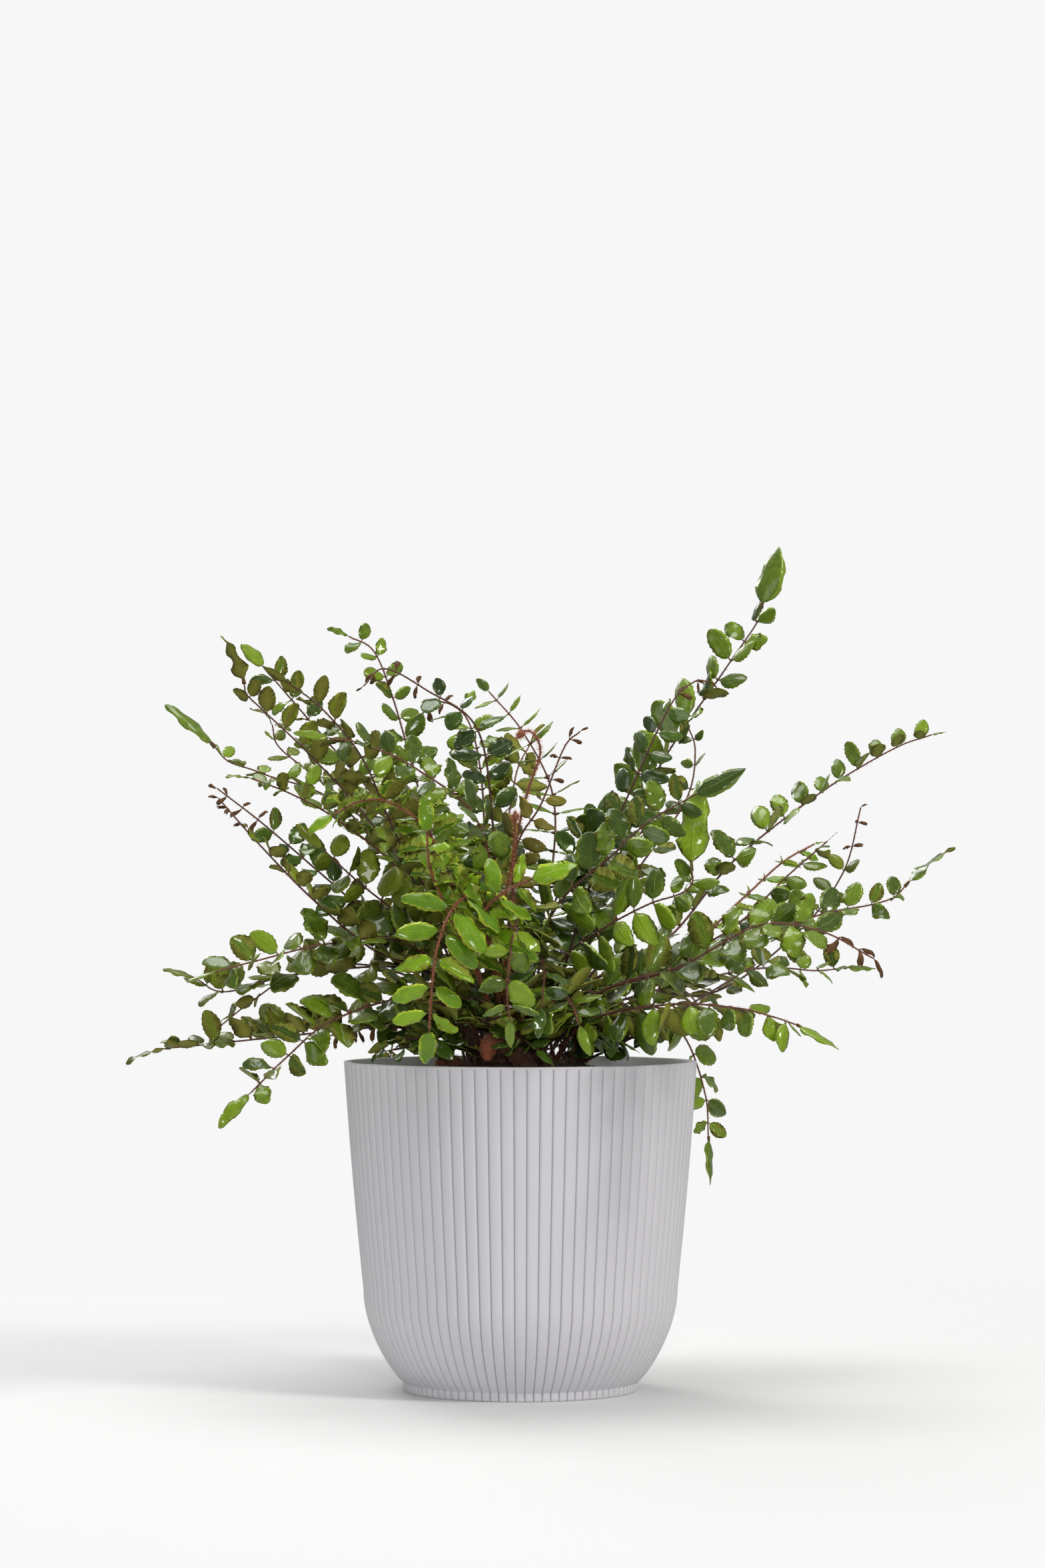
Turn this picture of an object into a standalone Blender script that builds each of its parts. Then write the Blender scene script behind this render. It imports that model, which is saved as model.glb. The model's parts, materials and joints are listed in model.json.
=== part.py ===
"""Button fern in a ribbed cover pot, for Blender 4.5, in metres, +Z up.

The origin is the middle of the cover pot's flat underside. +X is to the viewer's right and
+Y goes away from the viewer. A plastic nursery pot stands loose in the cover pot and holds
the soil ball. The rhizome creeps over the soil, and each frond, a stem with its leaflets,
is one solid that rises from it.
"""

import math
import random
from typing import NamedTuple

import bmesh
import bpy
from mathutils import Vector
from mathutils.bvhtree import BVHTree

MM = 0.001

# Cover pot, in mm.
POT_HEIGHT = 130.0
RIM_RADIUS = 70.1
BELLY_RADIUS = 62.3
BELLY_HEIGHT = 40.0
FOOT_RADIUS = 46.7
FOOT_HEIGHT = 3.5
POT_WALL = 3.0
POT_FLOOR = 3.0
RIB_COUNT = 86
# How far the wall bows out between belly and rim, as a share of how much wider the rim is.
WALL_BOW = 0.06
# The bowl's curve from foot (0, 0) to belly (1, 1): the two handles of a cubic.
BOWL_HANDLES = ((0.34, 0.12), (1.01, 0.59))
# The rounded corner between the inner wall and the floor.
INNER_CORNER_WIDTH = 1.5
INNER_CORNER_HEIGHT = 5.0

# The gap left between any two pieces, in mm.
GAP = 0.3

# Nursery pot, in mm. It stands on the cover pot's floor and is sized to clear its walls.
NURSERY_BELOW_RIM = 7.7
NURSERY_RIM_CLEARANCE = 8.1
NURSERY_BASE_CLEARANCE = 3.7
NURSERY_HEIGHT = POT_HEIGHT - POT_FLOOR - GAP - NURSERY_BELOW_RIM
NURSERY_RIM_RADIUS = RIM_RADIUS - POT_WALL - NURSERY_RIM_CLEARANCE
NURSERY_BASE_RADIUS = FOOT_RADIUS - POT_WALL - NURSERY_BASE_CLEARANCE
NURSERY_BAND_HEIGHT = 9.0
NURSERY_STEP = 1.6
NURSERY_WALL = 1.2
NURSERY_FLOOR = 1.5
NURSERY_SIDES = 48
DRAIN_HOLE_COUNT = 4
DRAIN_HOLE_RADIUS = 4.0
DRAIN_HOLE_SIDES = 10
# How far from the axis the drain holes are, as a share of the base's radius.
DRAIN_HOLE_REACH = 0.65

# Soil ball and rhizome, in mm.
SOIL_BELOW_NURSERY_RIM = 5.0
SOIL_CROWN_HEIGHT = 9.0
GROUND_SIDES = 24
RHIZOME_RADIUS = 24.0
RHIZOME_HEIGHT = 6.0
RHIZOME_KNOBS = 5

# Fronds, in mm.
STEM_RADIUS = 0.95
STEM_TIP_RADIUS = 0.5
STALK_LENGTH = 1.3
CROWN_SPREAD = 7.2
LEAF_THICKNESS = 0.75
BUD_RADIUS = 1.5
# About how far apart a bare stem's sections are.
BARE_STEP = 18.0
# How many sections a stem's tube has in the search for what touches it.
TUBE_SECTIONS = 40
# The radius that the fronds' points were chosen for: a wider or narrower rim moves them.
CHOSEN_RIM_RADIUS = 70.1


class Frond(NamedTuple):
    """One compound leaf.

    ring is 1 for the middle of the crown to 3 for its edge. It has this many pairs of leaflets,
    the longest of which is leaf mm long, and one of tip mm at its end. bare is the share of its
    stem with no leaflets. fold is how far both rows of leaflets rise, in degrees, and level how
    far each leaflet turns its upper side to the sky. face is where the frond's own upper side
    looks. via are the points that the stem passes through, in mm from the axis at rim height.
    """

    ring: int
    pairs: int
    leaf: float
    tip: float
    bare: float
    fold: float
    level: float
    face: tuple
    kind: str
    via: list


FRONDS = {
    # High on the left.
    "left_high_1": Frond(2, 13, 10.5, 14.5, 0.34, 35, 0.0, (0.3, 0.3, 0.9), "olive",
        [(-30, -4, 51), (-58, -8, 93), (-83, -12, 121), (-103, -16, 140), (-108, -17, 145),
         (-109, -17, 149)]),
    "left_high_2": Frond(2, 11, 10.5, 11.0, 0.40, 10, 0.0, (0.2, -0.9, 0.5), "gloss",
        [(-29, 22, 56), (-56, 36, 101), (-80, 44, 130), (-105, 50, 159)]),
    "left_high_3": Frond(1, 13, 11.0, 8.0, 0.34, 30, 0.0, (0.3, 0.5, 0.8), "olive",
        [(-23, -14, 43), (-47, -30, 86), (-61, -40, 118), (-76, -46, 137), (-90, -50, 148)]),
    "left_high_4": Frond(3, 13, 9.5, 20.0, 0.34, 30, 0.1, (0.1, -0.3, 1.0), "green",
        [(-35, 14, 51), (-70, 24, 100), (-104, 30, 115), (-118, 32, 120), (-124, 34, 126)]),
    "left_high_5": Frond(3, 13, 10.0, 8.0, 0.34, 25, 0.0, (0.0, -0.2, 1.0), "green",
        [(-30, -22, 46), (-48, -38, 76), (-71, -54, 95), (-87, -62, 104), (-102, -68, 110)]),
    "left_high_6": Frond(3, 13, 9.5, 6.0, 0.36, 15, 0.0, (0.2, -0.7, 0.7), "dark",
        [(-32, 4, 37), (-59, 2, 57), (-80, 0, 75), (-102, -4, 94), (-120, -8, 108)]),
    "left_high_7": Frond(3, 13, 9.0, 5.0, 0.38, 30, 0.0, (0.1, -0.1, 1.0), "olive",
        [(-33, -34, 33), (-57, -60, 45), (-80, -76, 65), (-100, -84, 86), (-114, -88, 102)]),
    "left_high_8": Frond(2, 9, 9.0, 6.0, 0.55, 10, 0.2, (0.3, -0.2, 1.0), "olive",
        [(-27, 44, 50), (-57, 70, 89), (-84, 84, 114), (-101, 90, 128), (-104, 92, 137)]),
    "left_high_9": Frond(3, 8, 12.5, 9.0, 0.45, 5, 0.0, (0.1, -0.9, 0.3), "olive",
        [(-24, -30, 38), (-43, -44, 54), (-63, -56, 70), (-77, -62, 83)]),
    # Upright in the middle.
    "middle_1": Frond(1, 13, 9.8, 6.0, 0.38, 20, 0.2, (0.6, -0.7, 0.3), "green",
        [(-18, 8, 40), (-32, 14, 77), (-43, 18, 116), (-51, 20, 144), (-59, 20, 164), (-69, 18, 170)]),
    "middle_2": Frond(1, 12, 9.0, 4.0, 0.36, 5, 0.4, (0.0, -0.8, 0.6), "dark",
        [(-9, -12, 51), (-11, -22, 95), (-17, -28, 131), (-37, -34, 146), (-53, -38, 154), (-61, -42, 147)]),
    "middle_3": Frond(1, 13, 10.5, 4.0, 0.34, 5, 0.5, (0.0, -0.9, 0.4), "green",
        [(-11, 14, 40), (-14, 22, 80), (-16, 28, 115), (-22, 34, 138), (-34, 40, 145), (-41, 44, 139)]),
    "middle_4": Frond(1, 15, 10.5, 6.0, 0.30, 5, 0.8, (0.0, -1.0, 0.2), "narrow",
        [(5, 24, 37), (13, 44, 78), (13, 52, 108), (1, 58, 133), (-13, 64, 150)]),
    "middle_5": Frond(1, 8, 9.0, 4.0, 0.52, -10, 0.2, (0.2, -0.7, 0.6), "dry",
        [(-8, -26, 43), (-2, -38, 83), (8, -42, 101), (17, -44, 123), (23, -48, 129)]),
    "middle_6": Frond(2, 12, 11.5, 9.0, 0.36, 15, 0.2, (0.0, -0.6, 0.8), "green",
        [(-9, -40, 51), (-16, -62, 93), (-40, -74, 114), (-60, -80, 123), (-72, -84, 125)]),
    "middle_7": Frond(1, 9, 11.0, 8.0, 0.40, 10, 0.3, (-0.2, -0.7, 0.6), "dark",
        [(8, 6, 42), (18, 8, 74), (31, 4, 97)]),
    # Young fronds in front.
    "front_1": Frond(2, 10, 12.5, 8.0, 0.50, 12, 0.4, (0.0, 0.2, 1.0), "bright",
        [(-20, -50, 46), (-33, -78, 86), (-48, -88, 100), (-60, -94, 101), (-70, -98, 96)]),
    "front_2": Frond(2, 8, 13.5, 11.0, 0.52, 15, 0.2, (-0.1, -0.7, 0.7), "bright",
        [(-17, -50, 36), (-29, -84, 63), (-34, -94, 76), (-35, -98, 88)]),
    "front_3": Frond(3, 9, 15.0, 12.0, 0.46, 15, 0.0, (0.0, -1.0, 0.1), "bright",
        [(-15, -52, 46), (-19, -82, 65), (-28, -104, 61), (-34, -112, 46), (-36, -112, 30), (-37, -106, 16)]),
    "front_4": Frond(2, 7, 14.0, 12.0, 0.50, 15, 0.2, (0.2, -0.7, 0.7), "bright",
        [(-12, -56, 38), (-17, -92, 57), (-10, -104, 66), (0, -108, 71)]),
    "front_5": Frond(3, 8, 11.5, 9.0, 0.44, 5, 0.0, (0.2, -1.0, 0.1), "green",
        [(-6, -50, 43), (-3, -80, 59), (-6, -96, 49), (-8, -98, 31), (-7, -92, 19)]),
    "front_6": Frond(3, 6, 10.5, 9.0, 0.44, 5, 0.0, (0.1, -0.9, 0.3), "dark",
        [(2, -48, 33), (5, -66, 41), (6, -82, 35), (5, -88, 24)]),
    "front_7": Frond(3, 6, 11.0, 9.0, 0.44, 5, 0.0, (0.1, -0.8, 0.3), "green",
        [(9, -50, 23), (14, -70, 27), (17, -82, 23), (19, -86, 17)]),
    # High on the right.
    "right_high_1": Frond(1, 14, 13.0, 20.0, 0.36, 30, 0.0, (-0.6, -0.7, 0.3), "gloss",
        [(24, 2, 37), (40, 4, 83), (56, 4, 118), (81, 2, 155), (94, 0, 174), (96, 0, 180)]),
    "right_high_2": Frond(1, 13, 9.5, 4.0, 0.36, -10, 0.2, (-0.3, -0.7, 0.6), "dark",
        [(18, -20, 40), (28, -34, 72), (43, -44, 107), (58, -50, 139), (67, -52, 148), (73, -54, 148)]),
    "right_high_3": Frond(2, 10, 12.0, 15.0, 0.42, 12, 0.0, (-0.2, -0.9, 0.5), "gloss",
        [(5, -44, 41), (16, -66, 64), (33, -76, 79), (48, -80, 93), (65, -84, 103)]),
    "right_high_4": Frond(2, 7, 12.0, 25.0, 0.50, 10, 0.0, (-0.2, -0.8, 0.6), "wavy",
        [(15, -30, 38), (31, -46, 52), (49, -54, 62), (61, -58, 66), (66, -58, 70), (66, -58, 75)]),
    "right_high_5": Frond(2, 7, 8.0, 4.0, 0.58, 10, 0.1, (-0.3, -0.7, 0.6), "green",
        [(24, 30, 42), (49, 50, 78), (68, 60, 105), (72, 62, 125), (69, 62, 136)]),
    # Long arches on the right.
    "right_1": Frond(3, 16, 10.5, 4.0, 0.34, 38, 0.0, (-0.3, -0.3, 0.9), "green",
        [(29, 16, 35), (59, 32, 48), (87, 46, 80), (123, 56, 108), (153, 60, 126), (169, 60, 132)]),
    "right_2": Frond(3, 10, 8.5, 4.0, 0.52, 10, 0.1, (-0.4, -0.6, 0.6), "olive",
        [(32, 40, 29), (77, 72, 25), (114, 88, 49), (135, 96, 75), (143, 98, 103)]),
    "right_3": Frond(3, 9, 9.5, 4.0, 0.52, -22, 0.1, (-0.2, -0.1, 1.0), "bright",
        [(30, 60, 31), (67, 96, 42), (93, 112, 64), (111, 120, 80), (125, 124, 88)]),
    "right_4": Frond(3, 9, 9.5, 4.0, 0.50, -22, 0.1, (-0.2, -0.1, 1.0), "green",
        [(26, -6, 30), (58, -8, 40), (84, -10, 53), (105, -12, 73), (121, -14, 87)]),
    "right_5": Frond(3, 10, 10.5, 18.0, 0.44, 28, 0.0, (-0.2, -0.5, 0.9), "green",
        [(31, -16, 27), (73, -30, 40), (113, -38, 57), (136, -42, 62), (145, -44, 65), (149, -44, 69)]),
    "right_6": Frond(3, 11, 13.0, 11.0, 0.40, 15, 0.0, (-0.1, -0.6, 0.8), "green",
        [(26, -34, 25), (61, -58, 38), (91, -70, 54), (114, -78, 52), (133, -84, 42)]),
    "right_7": Frond(3, 12, 10.5, 11.0, 0.36, 25, 0.0, (0.0, -0.5, 0.9), "green",
        [(29, 24, 18), (62, 44, 29), (98, 58, 36), (122, 66, 35), (134, 72, 36)]),
    "right_8": Frond(3, 10, 11.5, 16.0, 0.40, -32, 0.0, (0.0, -0.3, 1.0), "green",
        [(28, -42, 17), (58, -72, 24), (83, -88, 23), (96, -96, 20), (105, -102, 17)]),
    "right_9": Frond(3, 9, 11.5, 16.0, 0.40, 10, 0.0, (0.6, -0.7, 0.3), "green",
        [(27, 56, 15), (52, 76, 20), (66, 84, 6), (74, 86, -17), (75, 80, -34)]),
    # Low on the left.
    "left_low_1": Frond(3, 12, 13.5, 11.0, 0.36, 30, 0.0, (0.0, -0.3, 1.0), "olive",
        [(-24, 10, 27), (-48, 14, 37), (-91, 20, 34), (-119, 24, 27), (-131, 28, 32)]),
    "left_low_2": Frond(3, 11, 13.5, 9.0, 0.34, 25, 0.0, (0.0, -0.5, 0.9), "green",
        [(-26, -30, 30), (-46, -56, 48), (-74, -72, 47), (-99, -82, 41), (-114, -88, 37)]),
    "left_low_3": Frond(3, 8, 11.0, 7.0, 0.42, 25, 0.0, (0.0, -0.2, 1.0), "olive",
        [(-27, 36, 23), (-61, 62, 37), (-92, 78, 34), (-112, 86, 22), (-125, 92, 12)]),
    "left_low_4": Frond(3, 13, 12.0, 12.0, 0.36, 35, 0.0, (0.0, -0.1, 1.0), "olive",
        [(-24, -10, 19), (-48, -14, 15), (-87, -20, 11), (-126, -24, 7), (-137, -26, 6)]),
    "left_low_5": Frond(3, 12, 12.5, 14.0, 0.36, 15, 0.0, (0.0, -0.6, 0.8), "green",
        [(-24, -40, 19), (-46, -66, 26), (-73, -86, 18), (-89, -96, 5), (-102, -104, -8)]),
    "left_low_6": Frond(3, 7, 10.0, 8.0, 0.40, -18, 0.1, (0.0, -0.3, 1.0), "dry",
        [(-25, 46, 18), (-44, 66, 19), (-67, 84, 11), (-81, 94, 7)]),
    # Behind, out of the front view.
    "back_1": Frond(1, 10, 11.5, 9.0, 0.34, 15, 0.2, (0.0, 0.6, 0.8), "green",
        [(-4, 34, 44), (-6, 62, 84), (-2, 84, 116), (4, 104, 130)]),
    "back_2": Frond(2, 11, 12.0, 10.0, 0.36, 20, 0.0, (0.0, 0.4, 0.9), "green",
        [(-14, 38, 30), (-32, 78, 52), (-46, 110, 62), (-56, 134, 56)]),
    "back_3": Frond(2, 11, 12.0, 12.0, 0.36, 10, 0.0, (0.1, 0.5, 0.9), "gloss",
        [(14, 38, 34), (30, 80, 62), (42, 112, 74), (50, 136, 70)]),
    "back_4": Frond(3, 10, 12.0, 9.0, 0.38, 25, 0.0, (0.2, 0.4, 0.9), "olive",
        [(28, 44, 18), (54, 84, 28), (72, 112, 26), (84, 134, 12)]),
    "back_5": Frond(3, 10, 12.0, 10.0, 0.38, -15, 0.0, (-0.2, 0.5, 0.8), "green",
        [(-24, 46, 24), (-46, 92, 22), (-56, 118, 8), (-60, 132, -14)]),
    "back_6": Frond(3, 10, 13.0, 12.0, 0.40, 12, 0.0, (0.0, 0.9, 0.3), "bright",
        [(2, 46, 18), (0, 82, 26), (-4, 108, 14), (-8, 124, -14)]),
    "back_7": Frond(1, 10, 11.0, 9.0, 0.36, 20, 0.1, (0.2, 0.5, 0.8), "dark",
        [(18, 28, 40), (36, 52, 72), (50, 72, 92), (62, 92, 102)]),
    "back_8": Frond(1, 11, 11.5, 10.0, 0.34, 15, 0.1, (-0.2, 0.5, 0.8), "green",
        [(-18, 30, 48), (-34, 56, 88), (-46, 80, 110), (-58, 102, 120)]),
    "back_9": Frond(3, 9, 11.5, 8.0, 0.38, 20, 0.0, (-0.2, 0.2, 0.9), "dark",
        [(-30, 22, 34), (-50, 44, 52), (-62, 62, 56), (-72, 80, 50)]),
    # Stems with no leaflets: a hook that has not unrolled, a bud and a bare old stem.
    "crozier_1": Frond(1, 0, 0.0, 0.0, 1.00, 0, 0.0, (0.0, -1.0, 0.0), "young",
        [(-7, -30, 40), (-7, -32, 80), (-2, -32, 105), (3, -32, 120), (2, -33, 127), (-2, -34, 130),
         (-6, -36, 127)]),
    "crozier_2": Frond(1, 0, 0.0, 0.0, 1.00, 0, 0.0, (0.0, -1.0, 0.0), "young",
        [(-9, -48, 52), (-5, -56, 80), (-4, -58, 98)]),
    "bare_stem_1": Frond(3, 0, 0.0, 0.0, 1.00, 0, 0.0, (0.0, -1.0, 0.0), "bare",
        [(42, 20, 8), (64, 28, 20), (94, 36, 38)]),
}

LEAF_COLOURS = {
    "green": (0.09, 0.20, 0.035),
    "dark": (0.04, 0.11, 0.03),
    "gloss": (0.07, 0.19, 0.025),
    "bright": (0.20, 0.36, 0.04),
    "narrow": (0.10, 0.22, 0.04),
    "wavy": (0.07, 0.19, 0.03),
    "olive": (0.17, 0.19, 0.05),
    "dry": (0.10, 0.06, 0.03),
    "young": (0.25, 0.10, 0.03),
    "bare": (0.08, 0.04, 0.025),
}
LEAF_WIDTHS = {"narrow": 0.60, "bright": 0.55, "wavy": 0.72, "dry": 0.60}
USUAL_LEAF_WIDTH = 0.82
TIP_WIDTHS = {"green": 0.45, "gloss": 0.55, "olive": 0.55, "wavy": 0.50}
USUAL_TIP_WIDTH = 0.60

# What a leaflet tries when another is in its way: degrees of lift, degrees of turn, size.
LEAF_TRIES = [(lift, turn, size)
              for size in (1.0, 0.85, 0.7, 0.55)
              for lift, turn in ((0, 0), (16, 0), (-16, 0), (0, 22), (0, -22), (28, 14), (-28, -14))]
# How far a whole frond moves, in mm, when another stem is in its way.
FROND_SHIFTS = [(0.0, 0.0)] + [
    (reach * math.cos(math.radians(turn)), reach * math.sin(math.radians(turn)))
    for reach in (1.5, 3.0, 4.5, 6.0)
    for turn in range(0, 360, 45)
]


# ---------------------------------------------------------------- shared helpers


def clear_scene():
    for thing in list(bpy.data.objects):
        bpy.data.objects.remove(thing, do_unlink=True)


def material(name, colour, roughness):
    made = bpy.data.materials.new(name)
    made.use_nodes = True
    shader = made.node_tree.nodes["Principled BSDF"]
    shader.inputs["Base Color"].default_value = (*colour, 1.0)
    shader.inputs["Roughness"].default_value = roughness
    shader.inputs["Metallic"].default_value = 0.0
    made.diffuse_color = (*colour, 1.0)
    return made


def add_object(name, bm, look, smooth_below=None):
    """Makes a closed bmesh, drawn in mm, an object with its faces pointing out."""
    bmesh.ops.recalc_face_normals(bm, faces=bm.faces)
    if bm.calc_volume(signed=True) < 0:
        bmesh.ops.reverse_faces(bm, faces=bm.faces)
    bmesh.ops.scale(bm, vec=(MM, MM, MM), verts=bm.verts)
    mesh = bpy.data.meshes.new(name)
    bm.to_mesh(mesh)
    bm.free()
    mesh.materials.append(look)
    if smooth_below is not None:
        mesh.shade_smooth()
        mesh.set_sharp_from_angle(angle=math.radians(smooth_below))
    made = bpy.data.objects.new(name, mesh)
    bpy.context.scene.collection.objects.link(made)
    return made


def turned(profile, sides):
    """A profile of (radius, height) points from axis to axis, turned into a closed bmesh."""
    bm = bmesh.new()
    line = [bm.verts.new((radius, 0.0, height)) for radius, height in profile]
    edges = [bm.edges.new(pair) for pair in zip(line, line[1:])]
    bmesh.ops.spin(bm, geom=line + edges, axis=(0, 0, 1), cent=(0, 0, 0), dvec=(0, 0, 0),
                   angle=2 * math.pi, steps=sides, use_merge=True, use_duplicate=False)
    bmesh.ops.remove_doubles(bm, verts=bm.verts, dist=0.001)
    return bm


def mix(a, b, share):
    return a + (b - a) * share


# ---------------------------------------------------------------- pots and ground


def wall_radius(height):
    """The cover pot's outer radius at a height."""
    if height <= FOOT_HEIGHT:
        return FOOT_RADIUS
    if height >= BELLY_HEIGHT:
        share = (height - BELLY_HEIGHT) / (POT_HEIGHT - BELLY_HEIGHT)
        bow = WALL_BOW * (RIM_RADIUS - BELLY_RADIUS) * math.sin(math.pi * share)
        return mix(BELLY_RADIUS, RIM_RADIUS, share) + bow
    low, high = 0.0, 1.0
    for _ in range(30):
        middle = (low + high) / 2
        if bowl_point(middle)[1] < height:
            low = middle
        else:
            high = middle
    return bowl_point(low)[0]


def bowl_point(share):
    """A point on the bowl's curve, a cubic that leaves the foot flaring out and ends upright."""
    across, up = BELLY_RADIUS - FOOT_RADIUS, BELLY_HEIGHT - FOOT_HEIGHT
    handles = ((0.0, 0.0), *BOWL_HANDLES, (1.0, 1.0))
    weights = ((1 - share) ** 3, 3 * share * (1 - share) ** 2, 3 * share**2 * (1 - share), share**3)
    out = sum(weight * handle[0] for weight, handle in zip(weights, handles))
    rise = sum(weight * handle[1] for weight, handle in zip(weights, handles))
    return FOOT_RADIUS + across * out, FOOT_HEIGHT + up * rise


def make_cover_pot():
    bowl = [bowl_point(step / 5) for step in range(6)]
    wall = [(wall_radius(mix(BELLY_HEIGHT, POT_HEIGHT, share)), mix(BELLY_HEIGHT, POT_HEIGHT, share))
            for share in (0.5, 1.0)]
    outside = [(0.0, 0.0), (FOOT_RADIUS, 0.0), *bowl, *wall]
    inner_heights = [POT_FLOOR, POT_FLOOR + INNER_CORNER_HEIGHT, mix(POT_FLOOR, BELLY_HEIGHT, 0.5),
                     BELLY_HEIGHT, POT_HEIGHT]
    inside = [(wall_radius(height) - POT_WALL, height) for height in inner_heights]
    inside[0] = (inside[0][0] - INNER_CORNER_WIDTH, POT_FLOOR)
    profile = outside + inside[::-1] + [(0.0, POT_FLOOR)]
    look = material("pot_plastic", (0.62, 0.61, 0.64), 0.5)
    return add_object("cover_pot", turned(profile, RIB_COUNT), look)


def nursery_radius(height):
    """The nursery pot's outer radius under its band, at a height over its own foot."""
    body = NURSERY_HEIGHT - NURSERY_BAND_HEIGHT
    return mix(NURSERY_BASE_RADIUS, NURSERY_RIM_RADIUS - NURSERY_STEP, min(height / body, 1.0))


def make_nursery_pot():
    foot = POT_FLOOR + GAP
    body = NURSERY_HEIGHT - NURSERY_BAND_HEIGHT
    profile = [
        (0.0, 0.0),
        (NURSERY_BASE_RADIUS, 0.0),
        (nursery_radius(body), body),
        (NURSERY_RIM_RADIUS, body),
        (NURSERY_RIM_RADIUS, NURSERY_HEIGHT),
        (NURSERY_RIM_RADIUS - NURSERY_WALL, NURSERY_HEIGHT),
        (NURSERY_RIM_RADIUS - NURSERY_WALL, body + NURSERY_WALL),
        (nursery_radius(body) - NURSERY_WALL, body + NURSERY_WALL),
        (nursery_radius(NURSERY_FLOOR) - NURSERY_WALL, NURSERY_FLOOR),
        (0.0, NURSERY_FLOOR),
    ]
    bm = turned([(radius, height + foot) for radius, height in profile], NURSERY_SIDES)
    pot = add_object("nursery_pot", bm, material("nursery_plastic", (0.02, 0.02, 0.02), 0.45))
    drill = bmesh.new()
    for number in range(DRAIN_HOLE_COUNT):
        turn = 2 * math.pi * number / DRAIN_HOLE_COUNT
        made = bmesh.ops.create_cone(drill, cap_ends=True, segments=DRAIN_HOLE_SIDES,
                                     radius1=DRAIN_HOLE_RADIUS, radius2=DRAIN_HOLE_RADIUS,
                                     depth=4 * NURSERY_FLOOR)
        reach = DRAIN_HOLE_REACH * NURSERY_BASE_RADIUS
        place = (reach * math.cos(turn), reach * math.sin(turn), foot)
        bmesh.ops.translate(drill, vec=place, verts=made["verts"])
    cutter = add_object("drain_hole_cutter", drill, material("cutter", (1.0, 0.0, 0.0), 0.5))
    cutter.hide_render = True
    cutter.display_type = "WIRE"
    cut = pot.modifiers.new("drain_holes", "BOOLEAN")
    cut.operation = "DIFFERENCE"
    cut.object = cutter
    return pot


def soil_top(radius):
    """The soil's height at a distance from the axis: a low mound."""
    edge = POT_FLOOR + GAP + NURSERY_HEIGHT - SOIL_BELOW_NURSERY_RIM
    share = min(radius / (NURSERY_RIM_RADIUS - NURSERY_WALL - NURSERY_STEP), 1.0)
    return edge + SOIL_CROWN_HEIGHT * (1 - share**2)


def make_soil():
    base = POT_FLOOR + GAP + NURSERY_FLOOR + GAP
    body = NURSERY_HEIGHT - NURSERY_BAND_HEIGHT
    clear = NURSERY_WALL + 2 * GAP
    reach = nursery_radius(body) - clear
    top = [(radius, soil_top(radius)) for radius in (reach, 0.75 * reach, RHIZOME_RADIUS,
                                                     RHIZOME_RADIUS * 2 / 3, RHIZOME_RADIUS / 3, 0.0)]
    side = [(0.0, base), (nursery_radius(base - POT_FLOOR) - clear, base),
            (reach, POT_FLOOR + GAP + body)]
    return add_object("soil", turned(side + top, GROUND_SIDES), material("soil", (0.035, 0.022, 0.014), 0.9))


def rhizome_top(radius, turn):
    """The rhizome's knobbly top: higher in front, and down to the soil at its edge."""
    share = radius / RHIZOME_RADIUS
    knobs = 1 + 0.25 * math.sin(RHIZOME_KNOBS * turn + 4 * share) - 0.25 * math.sin(turn)
    return soil_top(radius) + GAP + RHIZOME_HEIGHT * knobs * (1 - share**2)


def make_rhizome():
    bm = bmesh.new()
    rings = [RHIZOME_RADIUS * share for share in (1 / 3, 2 / 3)]
    turns = [2 * math.pi * side / GROUND_SIDES for side in range(GROUND_SIDES)]

    def ring(radius, height):
        return [bm.verts.new((radius * math.cos(turn), radius * math.sin(turn), height(radius, turn)))
                for turn in turns]

    def floor_height(radius, _):
        return soil_top(radius) + GAP

    edge = ring(RHIZOME_RADIUS, floor_height)
    for height, middle in ((rhizome_top, rhizome_top(0.0, 0.0)), (floor_height, soil_top(0.0) + GAP)):
        inner, outer = (ring(radius, height) for radius in rings)
        pole = bm.verts.new((0.0, 0.0, middle))
        for side in range(GROUND_SIDES):
            after = (side + 1) % GROUND_SIDES
            bm.faces.new((edge[side], edge[after], outer[after], outer[side]))
            bm.faces.new((outer[side], outer[after], inner[after], inner[side]))
            bm.faces.new((inner[side], inner[after], pole))
    bmesh.ops.triangulate(bm, faces=bm.faces)
    return add_object("rhizome", bm, material("rhizome", (0.22, 0.07, 0.03), 0.85))


# ---------------------------------------------------------------- the course of a stem


def moved_with_rim(point, shift):
    """A frond's point over the rim, kept as far from a wider or narrower rim as it was."""
    x, y, z = point
    reach = math.hypot(x, y)
    if reach < CHOSEN_RIM_RADIUS:
        grow = RIM_RADIUS / CHOSEN_RIM_RADIUS
    else:
        grow = (reach + RIM_RADIUS - CHOSEN_RIM_RADIUS) / reach
    return Vector((x * grow + shift[0], y * grow + shift[1], z + POT_HEIGHT))


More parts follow.
